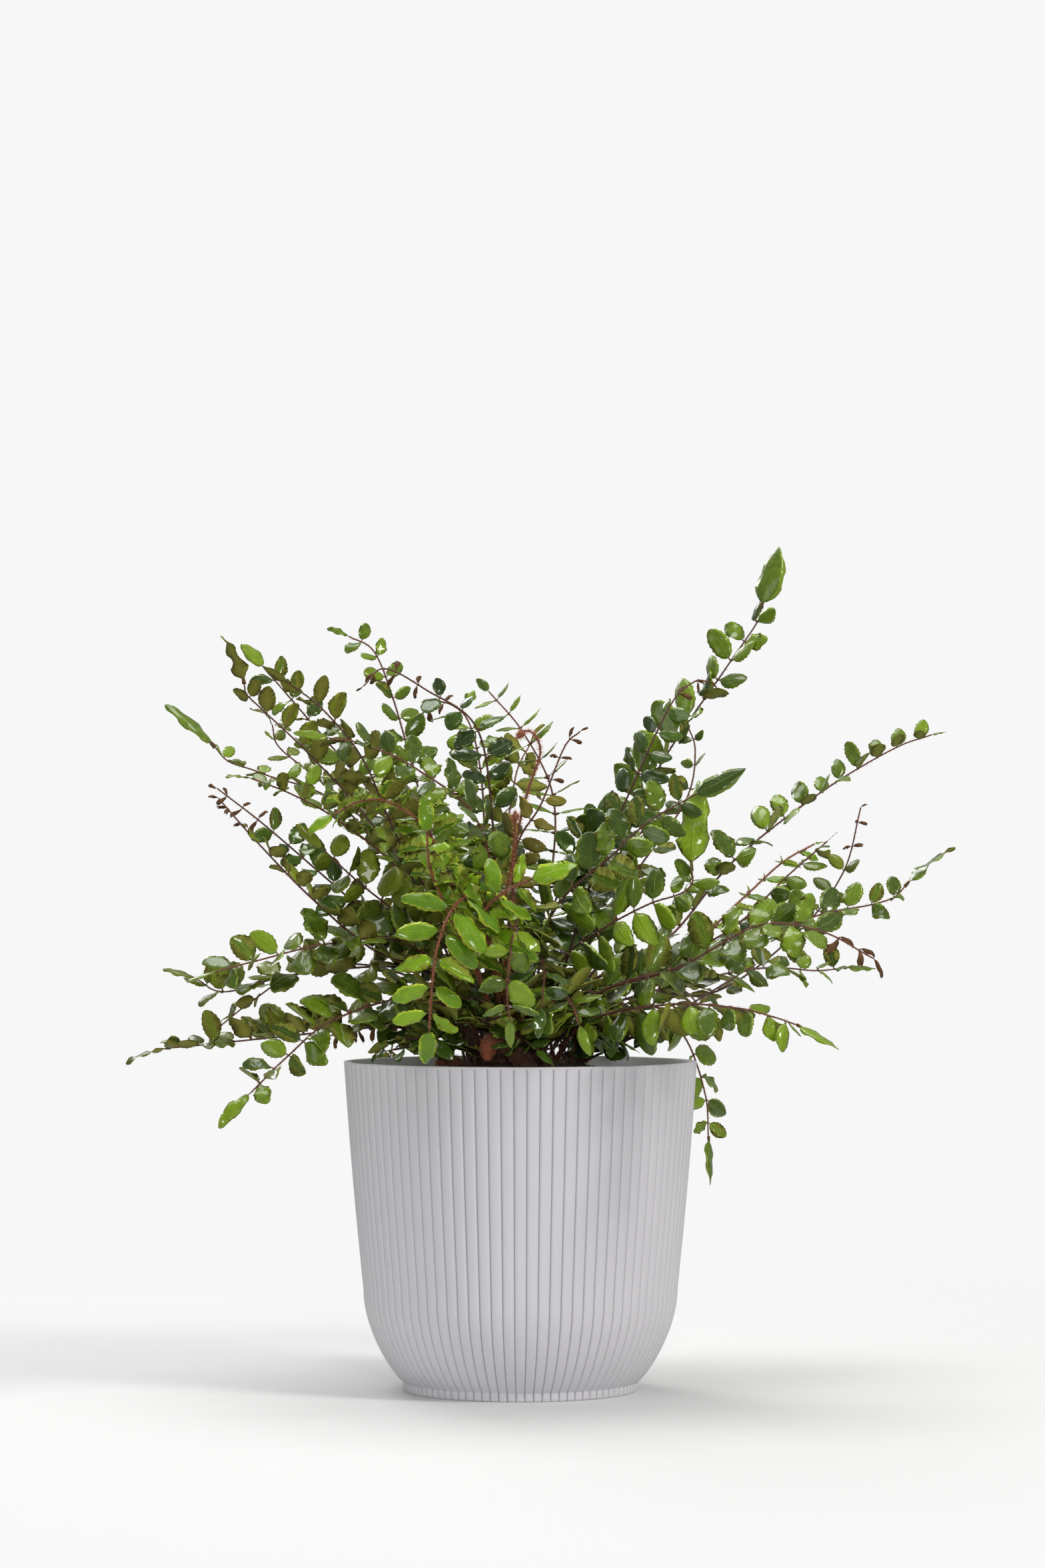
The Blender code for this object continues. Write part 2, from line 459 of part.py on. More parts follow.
def smooth_course(points, step):
    """Points a step apart on a Catmull-Rom curve through the given points."""
    ends = [2 * points[0] - points[1], *points, 2 * points[-1] - points[-2]]
    dense = [points[0]]
    for before, start, stop, after in zip(ends, ends[1:], ends[2:], ends[3:]):
        for tick in range(1, 17):
            t = tick / 16
            dense.append(0.5 * (2 * start + (stop - before) * t
                                + (2 * before - 5 * start + 4 * stop - after) * t**2
                                + (3 * start - before - 3 * stop + after) * t**3))
    lengths = [0.0]
    for start, stop in zip(dense, dense[1:]):
        lengths.append(lengths[-1] + (stop - start).length)
    count = max(round(lengths[-1] / step), 4)
    course, at = [], 0
    for number in range(count + 1):
        wanted = lengths[-1] * number / count
        while at < len(dense) - 2 and lengths[at + 1] < wanted:
            at += 1
        share = (wanted - lengths[at]) / (lengths[at + 1] - lengths[at])
        course.append(dense[at].lerp(dense[at + 1], share))
    return course


class Stem:
    """A frond's course, with the directions along it, across it and out of its upper side."""

    def __init__(self, frond, shift, ground):
        via = [moved_with_rim(point, shift) for point in frond.via]
        heading = Vector((via[0].x, via[0].y)).normalized() * CROWN_SPREAD * frond.ring
        base = Vector((heading.x + shift[0] / 2, heading.y + shift[1] / 2, POT_HEIGHT + 40))
        hit = ground.ray_cast(base, Vector((0, 0, -1)))[0]
        base.z = hit.z + STEM_RADIUS + 2 * GAP
        self.course = smooth_course([base, *via], 1.0)
        self.length = sum((b - a).length for a, b in zip(self.course, self.course[1:]))
        last = len(self.course) - 1
        self.along = [(self.course[min(i + 1, last)] - self.course[max(i - 1, 0)]).normalized()
                      for i in range(last + 1)]
        chosen = round(0.7 * last)
        face = Vector(frond.face)
        self.out = [None] * (last + 1)
        self.out[chosen] = (face - face.dot(self.along[chosen]) * self.along[chosen]).normalized()
        for i in [*range(chosen + 1, last + 1), *range(chosen - 1, -1, -1)]:
            near = self.out[i - 1] if i > chosen else self.out[i + 1]
            self.out[i] = (near - near.dot(self.along[i]) * self.along[i]).normalized()

    def at(self, distance):
        """Place, direction along, upper side and radius at a distance from the crown."""
        place = min(max(distance / self.length, 0.0), 1.0) * (len(self.course) - 1)
        i = min(int(place), len(self.course) - 2)
        share = place - i
        along = self.along[i].lerp(self.along[i + 1], share).normalized()
        out = self.out[i].lerp(self.out[i + 1], share)
        out = (out - out.dot(along) * along).normalized()
        radius = mix(STEM_RADIUS, STEM_TIP_RADIUS, (i + share) / (len(self.course) - 1))
        return self.course[i].lerp(self.course[i + 1], share), along, out, radius

    def ring(self, distance, extra=0.0):
        """The three corners of the stem's section: left, right and under."""
        place, along, out, radius = self.at(distance)
        radius += extra
        side = along.cross(out)
        return [place + (-0.87 * side + 0.5 * out) * radius,
                place + (0.87 * side + 0.5 * out) * radius,
                place - out * radius]

    def tree(self, extra):
        """A search tree of a tube round the whole stem, this much thicker than the stem."""
        rings = [self.ring(self.length * i / TUBE_SECTIONS, extra) for i in range(TUBE_SECTIONS + 1)]
        corners = [corner for ring in rings for corner in ring]
        faces = [(3 * i + a, 3 * i + b, 3 * i + 3 + b, 3 * i + 3 + a)
                 for i in range(TUBE_SECTIONS) for a, b in ((0, 1), (1, 2), (2, 0))]
        return BVHTree.FromPolygons(corners, faces)


# ---------------------------------------------------------------- leaflets


class Leaflet(NamedTuple):
    """Where one leaflet is: its foot on the stem, its length and width directions, its upper side."""

    foot: Vector
    run: Vector
    wide: Vector
    out: Vector
    length: float
    width: float

    def corners(self):
        """The margin towards the frond's tip, the leaflet's own tip and the other margin."""
        droop = -0.05 * self.length * self.out
        front = self.foot + 0.52 * self.length * self.run + self.width / 2 * self.wide + droop
        back = self.foot + 0.48 * self.length * self.run - self.width / 2 * self.wide + droop
        return front, self.foot + self.length * self.run, back

    def ridge(self):
        """The middle of the leaflet's upper side and of its under side."""
        middle = self.foot + 0.45 * self.length * self.run
        return middle + LEAF_THICKNESS / 2 * self.out, middle - LEAF_THICKNESS / 2 * self.out

    def tree(self):
        """A search tree of a box a gap larger than the leaflet, clear of its own stem."""
        front, tip, back = self.corners()
        spread = GAP * self.wide
        outline = [self.foot + 1.6 * self.run - 2 * spread, self.foot + 1.6 * self.run + 2 * spread,
                   front + 1.5 * spread, tip + GAP * self.run, back - 1.5 * spread]
        lift = (LEAF_THICKNESS / 2 + GAP) * self.out
        points = [point + lift for point in outline] + [point - lift for point in outline]
        walls = [(i, (i + 1) % 5, 5 + (i + 1) % 5, 5 + i) for i in range(5)]
        return BVHTree.FromPolygons(points, [(0, 1, 2, 3, 4), (9, 8, 7, 6, 5), *walls])


def leaf_size(share):
    """A leaflet's size along the leafy part, from its first pair at 0 to the last at 1."""
    return 0.86 + 0.14 * math.sin(math.pi * min(0.25 + share, 1.0)) - 0.22 * share**3


def place_leaflet(frond, stem, distance, side, share, wobble, tried):
    """A leaflet at this distance on the stem, on the side -1 or 1, or 0 for the end of the frond."""
    lift, turn, size = tried
    place, along, out, radius = stem.at(distance)
    across = along.cross(out) * (side or 1)
    if side:
        sweep = math.radians(78 - 16 * share + 7 * wobble[0])
        raised = math.radians(frond.fold + 10 * wobble[1] + lift)
        run = math.cos(sweep) * along + math.sin(sweep) * (math.cos(raised) * across + math.sin(raised) * out)
        foot = place + 0.3 * radius * across
        length = frond.leaf * leaf_size(share) * (1 + 0.1 * wobble[2]) * size
        width = length * LEAF_WIDTHS.get(frond.kind, USUAL_LEAF_WIDTH)
    else:
        run, foot = along, place
        length = frond.tip * size
        width = TIP_WIDTHS.get(frond.kind, USUAL_TIP_WIDTH) * length
    wide = (along - along.dot(run) * run).normalized() if side else across
    upper = wide.cross(run).normalized()
    if upper.dot(out) < 0:
        upper = -upper
    sky = Vector((0, 0, 1))
    twist = math.radians(turn + 12 * wobble[3])
    if side:
        twist -= frond.level * math.atan2(sky.dot(wide), sky.dot(upper))
    wide, upper = (math.cos(twist) * wide + math.sin(twist) * upper,
                   math.cos(twist) * upper - math.sin(twist) * wide)
    return Leaflet(foot, run.normalized(), wide, upper, length, width)


def stations(frond, stem):
    """How far along the stem each pair sits, the leafy part in even steps."""
    start = frond.bare * stem.length
    pitch = (stem.length - start) / (frond.pairs - 0.3)
    return [start + pitch * number for number in range(frond.pairs)]


class Thicket:
    """What has its place already, and whether a new leaflet or stem would touch it."""

    def __init__(self, solids):
        self.solids = solids
        self.stems = {}
        self.tubes = {}
        self.leaflets = []

    def stem_fits(self, stem):
        tube = stem.tree(2 * GAP)
        others = [*self.solids, *(other.tree(GAP) for other in self.stems.values())]
        return not any(tube.overlap(other) for other in others)

    def leaflet_fits(self, name, leaflet, distance):
        tree = leaflet.tree()
        middle = leaflet.foot + leaflet.length / 2 * leaflet.run
        for other, other_tree, other_middle, other_reach in self.leaflets:
            if (middle - other_middle).length < other_reach + leaflet.length and tree.overlap(other_tree):
                return False
        if any(tree.overlap(tube) for other, tube in self.tubes.items() if other != name):
            return False
        if any(tree.overlap(solid) for solid in self.solids):
            return False
        own = self.stems[name]
        points = [*leaflet.corners(), middle]
        for i, place in enumerate(own.course):
            if abs(i - distance) > 5 and any((place - point).length < 2.0 for point in points):
                return False
        self.leaflets.append((name, tree, middle, leaflet.length))
        return True


def grow_leaflet(bm, leaflet, upper_edge, under_edge):
    """Closes a hole in the stem with a leaflet.

    Each edge is one or two of the hole's corners, from the leaflet's back margin to its front one.
    """
    front, tip, back = (bm.verts.new(corner) for corner in leaflet.corners())
    for edge, middle in zip((upper_edge, under_edge), leaflet.ridge()):
        outline = [*edge, front, tip, back]
        crest = bm.verts.new(middle)
        for corner, after in zip(outline, outline[1:] + outline[:1]):
            bm.faces.new((corner, after, crest))
    bm.faces.new((upper_edge[-1], under_edge[-1], front))
    bm.faces.new((upper_edge[0], under_edge[0], back))


def turned_hole(hole, leaflet):
    """The hole's four corners in the leaflet's order: back and front of its upper side, then
    front and back of its under side.
    """
    wanted = (leaflet.out - leaflet.wide, leaflet.out + leaflet.wide,
              leaflet.wide - leaflet.out, -leaflet.wide - leaflet.out)

    def agreement(corners):
        return sum(corner.co.dot(way) for corner, way in zip(corners, wanted))

    return max((hole[turn:] + hole[:turn] for turn in range(4)), key=agreement)


def frond_mesh(frond, stem, leaflets):
    """One closed bmesh: a three-sided stem whose side faces grow out into leaflets."""
    places = stations(frond, stem)
    bare_end = places[0] if places else stem.length
    bare_rings = max(3, round(bare_end / BARE_STEP))
    distances = [bare_end * i / bare_rings for i in range(bare_rings)]
    starts = set()
    for place in places:
        starts.add(len(distances))
        distances += [place, place + STALK_LENGTH]
    if not places:
        distances += [stem.length - 3 * BUD_RADIUS, stem.length - BUD_RADIUS]
    distances.append(stem.length)

    bm = bmesh.new()
    rings = []
    for number, distance in enumerate(distances):
        bud = BUD_RADIUS - STEM_TIP_RADIUS if not places and number == len(distances) - 2 else 0.0
        rings.append([bm.verts.new(corner) for corner in stem.ring(distance, bud)])
    bm.faces.new(rings[0])
    station = 0
    for number, (near, far) in enumerate(zip(rings, rings[1:])):
        sides = {-1: (near[0], far[0]), 1: (near[1], far[1])}
        bm.faces.new((near[0], near[1], far[1], far[0]))
        for side, (start, stop) in sides.items():
            leaflet = leaflets.get((station, side)) if number in starts else None
            if leaflet is None:
                bm.faces.new((start, stop, far[2], near[2]))
                continue
            back_upper, front_upper, front_under, back_under = turned_hole(
                [start, stop, far[2], near[2]], leaflet)
            grow_leaflet(bm, leaflet, [back_upper, front_upper], [back_under, front_under])
        station += number in starts
    left, right, under = rings[-1]
    end = leaflets.get("end")
    if end is None:
        bm.faces.new((left, right, under))
    else:
        grow_leaflet(bm, end, [left, right], [under])
    return bm


def make_fronds(ground, solids):
    thicket = Thicket(solids)
    for name, frond in FRONDS.items():
        for shift in FROND_SHIFTS:
            stem = Stem(frond, shift, ground)
            if thicket.stem_fits(stem):
                break
        else:
            print("no clear place for", name)
        thicket.stems[name] = stem
    thicket.tubes = {name: stem.tree(GAP) for name, stem in thicket.stems.items()}

    for number, (name, frond) in enumerate(FRONDS.items()):
        stem = thicket.stems[name]
        chance = random.Random(number)
        leaflets = {}
        spots = [("end", 0, stem.length, 1.0)] if frond.pairs else []
        for station, distance in enumerate(stations(frond, stem)):
            share = station / max(frond.pairs - 1, 1)
            spots += [((station, side), side, distance + STALK_LENGTH / 2, share) for side in (-1, 1)]
        for key, side, distance, share in spots:
            wobble = [chance.uniform(-1, 1) for _ in range(4)]
            for tried in LEAF_TRIES:
                leaflet = place_leaflet(frond, stem, distance, side, share, wobble, tried)
                if thicket.leaflet_fits(name, leaflet, distance):
                    leaflets[key] = leaflet
                    break
        bm = frond_mesh(frond, stem, leaflets)
        look = material(name + "_leaf", LEAF_COLOURS[frond.kind], 0.4)
        add_object("frond_" + name, bm, look)


def search_tree(thing):
    """A search tree of an object's mesh, in mm."""
    mesh = thing.data
    points = [vertex.co / MM for vertex in mesh.vertices]
    return BVHTree.FromPolygons(points, [tuple(face.vertices) for face in mesh.polygons])


def main():
    clear_scene()
    cover_pot = make_cover_pot()
    nursery_pot = make_nursery_pot()
    soil = make_soil()
    rhizome = make_rhizome()
    solids = [search_tree(thing) for thing in (cover_pot, nursery_pot, soil, rhizome)]
    bm = bmesh.new()
    bm.from_mesh(soil.data)
    bm.from_mesh(rhizome.data)
    bmesh.ops.scale(bm, vec=(1 / MM,) * 3, verts=bm.verts)
    ground = BVHTree.FromBMesh(bm)
    bm.free()
    make_fronds(ground, solids)


main()
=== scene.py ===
"""Looks for the potted button fern: cover pot, nursery pot, soil, rhizome and 55 fronds.

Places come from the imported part. A frond's course and its leaflets' places repeat the part's
own rules, in mm, and each is looked up among the corners of the part's solid, so that every
leaflet's foot lies where its solid's does. From there on a leaflet is bigger than its solid
and turned a little.
"""

import json
import math
import random
from typing import NamedTuple

import bmesh
import bpy
import numpy as np
from mathutils import Matrix, Vector, noise
from mathutils.bvhtree import BVHTree
from mathutils.kdtree import KDTree

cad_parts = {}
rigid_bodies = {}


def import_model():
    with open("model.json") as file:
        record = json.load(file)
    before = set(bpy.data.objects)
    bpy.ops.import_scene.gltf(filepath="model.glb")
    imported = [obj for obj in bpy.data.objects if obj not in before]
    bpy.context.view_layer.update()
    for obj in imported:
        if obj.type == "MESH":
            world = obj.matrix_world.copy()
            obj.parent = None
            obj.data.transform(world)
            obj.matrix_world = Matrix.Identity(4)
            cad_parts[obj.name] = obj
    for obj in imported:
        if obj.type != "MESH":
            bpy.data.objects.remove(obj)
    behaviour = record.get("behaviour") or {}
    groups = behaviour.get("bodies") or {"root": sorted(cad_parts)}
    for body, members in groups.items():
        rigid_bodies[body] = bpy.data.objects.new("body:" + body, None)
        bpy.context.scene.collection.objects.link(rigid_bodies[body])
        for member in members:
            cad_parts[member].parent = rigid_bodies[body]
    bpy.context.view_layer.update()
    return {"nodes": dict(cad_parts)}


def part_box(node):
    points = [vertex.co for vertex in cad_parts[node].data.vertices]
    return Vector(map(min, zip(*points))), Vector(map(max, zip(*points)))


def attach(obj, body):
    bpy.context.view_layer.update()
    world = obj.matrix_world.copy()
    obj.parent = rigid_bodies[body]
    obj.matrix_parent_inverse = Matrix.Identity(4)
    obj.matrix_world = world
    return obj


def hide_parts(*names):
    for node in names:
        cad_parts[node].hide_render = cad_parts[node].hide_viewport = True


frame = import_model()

MM = 0.001

# The part's own sizes, in mm.
POT_HEIGHT = 130.0
RIM_RADIUS = 70.1
BELLY_RADIUS = 62.3
BELLY_HEIGHT = 40.0
FOOT_RADIUS = 46.7
FOOT_HEIGHT = 3.5
POT_WALL = 3.0
POT_FLOOR = 3.0
RIB_COUNT = 86
WALL_BOW = 0.06
BOWL_HANDLES = ((0.34, 0.12), (1.01, 0.59))
GAP = 0.3
STEM_RADIUS = 0.95
STEM_TIP_RADIUS = 0.5
STALK_LENGTH = 1.3
CROWN_SPREAD = 7.2
BUD_RADIUS = 1.5
GROUND_SIDES = 24

# Sizes of what only shows here, in mm.
RIB_DEPTH = 1.0
FOOT_HOLLOW = 0.6
# INSIDE_FROM: height above which the pot's inner wall is painted paler, as painted light.
INSIDE_FROM = 8.0
SOIL_HEAP = 5.0
SOIL_HEAP_REACH = 50.0
INNER_FRONDS = 30
LIP_HEIGHT = 0.8
STEM_THICKNESS = 0.62
BRISTLE_LENGTH = 1.0
LEAF_LENGTHENING = 1.48
LEAF_WIDENING = 1.08
LOWEST_LEAF = 0.16
FUZZ_LENGTH = 2.6
FUZZ_DENSITY = 2.4e6
FRESH_KNOB = (-8.0, -19.0, 131.0)
KNOB_REACH = 7.0
CRUMB_SIZE = 2.4
FLOOR_RADIUS = 1.2
ROOM_LIGHT = 0.32


class Frond(NamedTuple):
    """One compound leaf, with the part's own numbers for it."""

    ring: int
    pairs: int
    leaf: float
    tip: float
    bare: float
    fold: float
    level: float
    face: tuple
    kind: str
    via: list


FRONDS = {
    # High on the left.
    "left_high_1": Frond(2, 13, 10.5, 14.5, 0.34, 35, 0.0, (0.3, 0.3, 0.9), "olive",
        [(-30, -4, 51), (-58, -8, 93), (-83, -12, 121), (-103, -16, 140), (-108, -17, 145),
         (-109, -17, 149)]),
    "left_high_2": Frond(2, 11, 10.5, 11.0, 0.40, 10, 0.0, (0.2, -0.9, 0.5), "gloss",
        [(-29, 22, 56), (-56, 36, 101), (-80, 44, 130), (-105, 50, 159)]),
    "left_high_3": Frond(1, 13, 11.0, 8.0, 0.34, 30, 0.0, (0.3, 0.5, 0.8), "olive",
        [(-23, -14, 43), (-47, -30, 86), (-61, -40, 118), (-76, -46, 137), (-90, -50, 148)]),
    "left_high_4": Frond(3, 13, 9.5, 20.0, 0.34, 30, 0.1, (0.1, -0.3, 1.0), "green",
        [(-35, 14, 51), (-70, 24, 100), (-104, 30, 115), (-118, 32, 120), (-124, 34, 126)]),
    "left_high_5": Frond(3, 13, 10.0, 8.0, 0.34, 25, 0.0, (0.0, -0.2, 1.0), "green",
        [(-30, -22, 46), (-48, -38, 76), (-71, -54, 95), (-87, -62, 104), (-102, -68, 110)]),
    "left_high_6": Frond(3, 13, 9.5, 6.0, 0.36, 15, 0.0, (0.2, -0.7, 0.7), "dark",
        [(-32, 4, 37), (-59, 2, 57), (-80, 0, 75), (-102, -4, 94), (-120, -8, 108)]),
    "left_high_7": Frond(3, 13, 9.0, 5.0, 0.38, 30, 0.0, (0.1, -0.1, 1.0), "olive",
        [(-33, -34, 33), (-57, -60, 45), (-80, -76, 65), (-100, -84, 86), (-114, -88, 102)]),
    "left_high_8": Frond(2, 9, 9.0, 6.0, 0.55, 10, 0.2, (0.3, -0.2, 1.0), "olive",
        [(-27, 44, 50), (-57, 70, 89), (-84, 84, 114), (-101, 90, 128), (-104, 92, 137)]),
    "left_high_9": Frond(3, 8, 12.5, 9.0, 0.45, 5, 0.0, (0.1, -0.9, 0.3), "olive",
        [(-24, -30, 38), (-43, -44, 54), (-63, -56, 70), (-77, -62, 83)]),
    # Upright in the middle.
    "middle_1": Frond(1, 13, 9.8, 6.0, 0.38, 20, 0.2, (0.6, -0.7, 0.3), "green",
        [(-18, 8, 40), (-32, 14, 77), (-43, 18, 116), (-51, 20, 144), (-59, 20, 164), (-69, 18, 170)]),
    "middle_2": Frond(1, 12, 9.0, 4.0, 0.36, 5, 0.4, (0.0, -0.8, 0.6), "dark",
        [(-9, -12, 51), (-11, -22, 95), (-17, -28, 131), (-37, -34, 146), (-53, -38, 154), (-61, -42, 147)]),
    "middle_3": Frond(1, 13, 10.5, 4.0, 0.34, 5, 0.5, (0.0, -0.9, 0.4), "green",
        [(-11, 14, 40), (-14, 22, 80), (-16, 28, 115), (-22, 34, 138), (-34, 40, 145), (-41, 44, 139)]),
    "middle_4": Frond(1, 15, 10.5, 6.0, 0.30, 5, 0.8, (0.0, -1.0, 0.2), "narrow",
        [(5, 24, 37), (13, 44, 78), (13, 52, 108), (1, 58, 133), (-13, 64, 150)]),
    "middle_5": Frond(1, 8, 9.0, 4.0, 0.52, -10, 0.2, (0.2, -0.7, 0.6), "dry",
        [(-8, -26, 43), (-2, -38, 83), (8, -42, 101), (17, -44, 123), (23, -48, 129)]),
    "middle_6": Frond(2, 12, 11.5, 9.0, 0.36, 15, 0.2, (0.0, -0.6, 0.8), "green",
        [(-9, -40, 51), (-16, -62, 93), (-40, -74, 114), (-60, -80, 123), (-72, -84, 125)]),
    "middle_7": Frond(1, 9, 11.0, 8.0, 0.40, 10, 0.3, (-0.2, -0.7, 0.6), "dark",
        [(8, 6, 42), (18, 8, 74), (31, 4, 97)]),
    # Young fronds in front.
    "front_1": Frond(2, 10, 12.5, 8.0, 0.50, 12, 0.4, (0.0, 0.2, 1.0), "bright",
        [(-20, -50, 46), (-33, -78, 86), (-48, -88, 100), (-60, -94, 101), (-70, -98, 96)]),
    "front_2": Frond(2, 8, 13.5, 11.0, 0.52, 15, 0.2, (-0.1, -0.7, 0.7), "bright",
        [(-17, -50, 36), (-29, -84, 63), (-34, -94, 76), (-35, -98, 88)]),
    "front_3": Frond(3, 9, 15.0, 12.0, 0.46, 15, 0.0, (0.0, -1.0, 0.1), "bright",
        [(-15, -52, 46), (-19, -82, 65), (-28, -104, 61), (-34, -112, 46), (-36, -112, 30), (-37, -106, 16)]),
    "front_4": Frond(2, 7, 14.0, 12.0, 0.50, 15, 0.2, (0.2, -0.7, 0.7), "bright",
        [(-12, -56, 38), (-17, -92, 57), (-10, -104, 66), (0, -108, 71)]),
    "front_5": Frond(3, 8, 11.5, 9.0, 0.44, 5, 0.0, (0.2, -1.0, 0.1), "green",
        [(-6, -50, 43), (-3, -80, 59), (-6, -96, 49), (-8, -98, 31), (-7, -92, 19)]),
    "front_6": Frond(3, 6, 10.5, 9.0, 0.44, 5, 0.0, (0.1, -0.9, 0.3), "dark",
        [(2, -48, 33), (5, -66, 41), (6, -82, 35), (5, -88, 24)]),
    "front_7": Frond(3, 6, 11.0, 9.0, 0.44, 5, 0.0, (0.1, -0.8, 0.3), "green",
        [(9, -50, 23), (14, -70, 27), (17, -82, 23), (19, -86, 17)]),
    # High on the right.
    "right_high_1": Frond(1, 14, 13.0, 20.0, 0.36, 30, 0.0, (-0.6, -0.7, 0.3), "gloss",
        [(24, 2, 37), (40, 4, 83), (56, 4, 118), (81, 2, 155), (94, 0, 174), (96, 0, 180)]),
    "right_high_2": Frond(1, 13, 9.5, 4.0, 0.36, -10, 0.2, (-0.3, -0.7, 0.6), "dark",
        [(18, -20, 40), (28, -34, 72), (43, -44, 107), (58, -50, 139), (67, -52, 148), (73, -54, 148)]),
    "right_high_3": Frond(2, 10, 12.0, 15.0, 0.42, 12, 0.0, (-0.2, -0.9, 0.5), "gloss",
        [(5, -44, 41), (16, -66, 64), (33, -76, 79), (48, -80, 93), (65, -84, 103)]),
    "right_high_4": Frond(2, 7, 12.0, 25.0, 0.50, 10, 0.0, (-0.2, -0.8, 0.6), "wavy",
        [(15, -30, 38), (31, -46, 52), (49, -54, 62), (61, -58, 66), (66, -58, 70), (66, -58, 75)]),
    "right_high_5": Frond(2, 7, 8.0, 4.0, 0.58, 10, 0.1, (-0.3, -0.7, 0.6), "green",
        [(24, 30, 42), (49, 50, 78), (68, 60, 105), (72, 62, 125), (69, 62, 136)]),
    # Long arches on the right.
    "right_1": Frond(3, 16, 10.5, 4.0, 0.34, 38, 0.0, (-0.3, -0.3, 0.9), "green",
        [(29, 16, 35), (59, 32, 48), (87, 46, 80), (123, 56, 108), (153, 60, 126), (169, 60, 132)]),
    "right_2": Frond(3, 10, 8.5, 4.0, 0.52, 10, 0.1, (-0.4, -0.6, 0.6), "olive",
        [(32, 40, 29), (77, 72, 25), (114, 88, 49), (135, 96, 75), (143, 98, 103)]),
    "right_3": Frond(3, 9, 9.5, 4.0, 0.52, -22, 0.1, (-0.2, -0.1, 1.0), "bright",
        [(30, 60, 31), (67, 96, 42), (93, 112, 64), (111, 120, 80), (125, 124, 88)]),
    "right_4": Frond(3, 9, 9.5, 4.0, 0.50, -22, 0.1, (-0.2, -0.1, 1.0), "green",
        [(26, -6, 30), (58, -8, 40), (84, -10, 53), (105, -12, 73), (121, -14, 87)]),
    "right_5": Frond(3, 10, 10.5, 18.0, 0.44, 28, 0.0, (-0.2, -0.5, 0.9), "green",
        [(31, -16, 27), (73, -30, 40), (113, -38, 57), (136, -42, 62), (145, -44, 65), (149, -44, 69)]),
    "right_6": Frond(3, 11, 13.0, 11.0, 0.40, 15, 0.0, (-0.1, -0.6, 0.8), "green",
        [(26, -34, 25), (61, -58, 38), (91, -70, 54), (114, -78, 52), (133, -84, 42)]),
    "right_7": Frond(3, 12, 10.5, 11.0, 0.36, 25, 0.0, (0.0, -0.5, 0.9), "green",
        [(29, 24, 18), (62, 44, 29), (98, 58, 36), (122, 66, 35), (134, 72, 36)]),
    "right_8": Frond(3, 10, 11.5, 16.0, 0.40, -32, 0.0, (0.0, -0.3, 1.0), "green",
        [(28, -42, 17), (58, -72, 24), (83, -88, 23), (96, -96, 20), (105, -102, 17)]),
    "right_9": Frond(3, 9, 11.5, 16.0, 0.40, 10, 0.0, (0.6, -0.7, 0.3), "green",
        [(27, 56, 15), (52, 76, 20), (66, 84, 6), (74, 86, -17), (75, 80, -34)]),
    # Low on the left.
    "left_low_1": Frond(3, 12, 13.5, 11.0, 0.36, 30, 0.0, (0.0, -0.3, 1.0), "olive",
        [(-24, 10, 27), (-48, 14, 37), (-91, 20, 34), (-119, 24, 27), (-131, 28, 32)]),
    "left_low_2": Frond(3, 11, 13.5, 9.0, 0.34, 25, 0.0, (0.0, -0.5, 0.9), "green",
        [(-26, -30, 30), (-46, -56, 48), (-74, -72, 47), (-99, -82, 41), (-114, -88, 37)]),
    "left_low_3": Frond(3, 8, 11.0, 7.0, 0.42, 25, 0.0, (0.0, -0.2, 1.0), "olive",
        [(-27, 36, 23), (-61, 62, 37), (-92, 78, 34), (-112, 86, 22), (-125, 92, 12)]),
    "left_low_4": Frond(3, 13, 12.0, 12.0, 0.36, 35, 0.0, (0.0, -0.1, 1.0), "olive",
        [(-24, -10, 19), (-48, -14, 15), (-87, -20, 11), (-126, -24, 7), (-137, -26, 6)]),
    "left_low_5": Frond(3, 12, 12.5, 14.0, 0.36, 15, 0.0, (0.0, -0.6, 0.8), "green",
        [(-24, -40, 19), (-46, -66, 26), (-73, -86, 18), (-89, -96, 5), (-102, -104, -8)]),
    "left_low_6": Frond(3, 7, 10.0, 8.0, 0.40, -18, 0.1, (0.0, -0.3, 1.0), "dry",
        [(-25, 46, 18), (-44, 66, 19), (-67, 84, 11), (-81, 94, 7)]),
    # Behind, out of the front view.
    "back_1": Frond(1, 10, 11.5, 9.0, 0.34, 15, 0.2, (0.0, 0.6, 0.8), "green",
        [(-4, 34, 44), (-6, 62, 84), (-2, 84, 116), (4, 104, 130)]),
    "back_2": Frond(2, 11, 12.0, 10.0, 0.36, 20, 0.0, (0.0, 0.4, 0.9), "green",
        [(-14, 38, 30), (-32, 78, 52), (-46, 110, 62), (-56, 134, 56)]),
    "back_3": Frond(2, 11, 12.0, 12.0, 0.36, 10, 0.0, (0.1, 0.5, 0.9), "gloss",
        [(14, 38, 34), (30, 80, 62), (42, 112, 74), (50, 136, 70)]),
    "back_4": Frond(3, 10, 12.0, 9.0, 0.38, 25, 0.0, (0.2, 0.4, 0.9), "olive",
        [(28, 44, 18), (54, 84, 28), (72, 112, 26), (84, 134, 12)]),
    "back_5": Frond(3, 10, 12.0, 10.0, 0.38, -15, 0.0, (-0.2, 0.5, 0.8), "green",
        [(-24, 46, 24), (-46, 92, 22), (-56, 118, 8), (-60, 132, -14)]),
    "back_6": Frond(3, 10, 13.0, 12.0, 0.40, 12, 0.0, (0.0, 0.9, 0.3), "bright",
        [(2, 46, 18), (0, 82, 26), (-4, 108, 14), (-8, 124, -14)]),
    "back_7": Frond(1, 10, 11.0, 9.0, 0.36, 20, 0.1, (0.2, 0.5, 0.8), "dark",
        [(18, 28, 40), (36, 52, 72), (50, 72, 92), (62, 92, 102)]),
    "back_8": Frond(1, 11, 11.5, 10.0, 0.34, 15, 0.1, (-0.2, 0.5, 0.8), "green",
        [(-18, 30, 48), (-34, 56, 88), (-46, 80, 110), (-58, 102, 120)]),
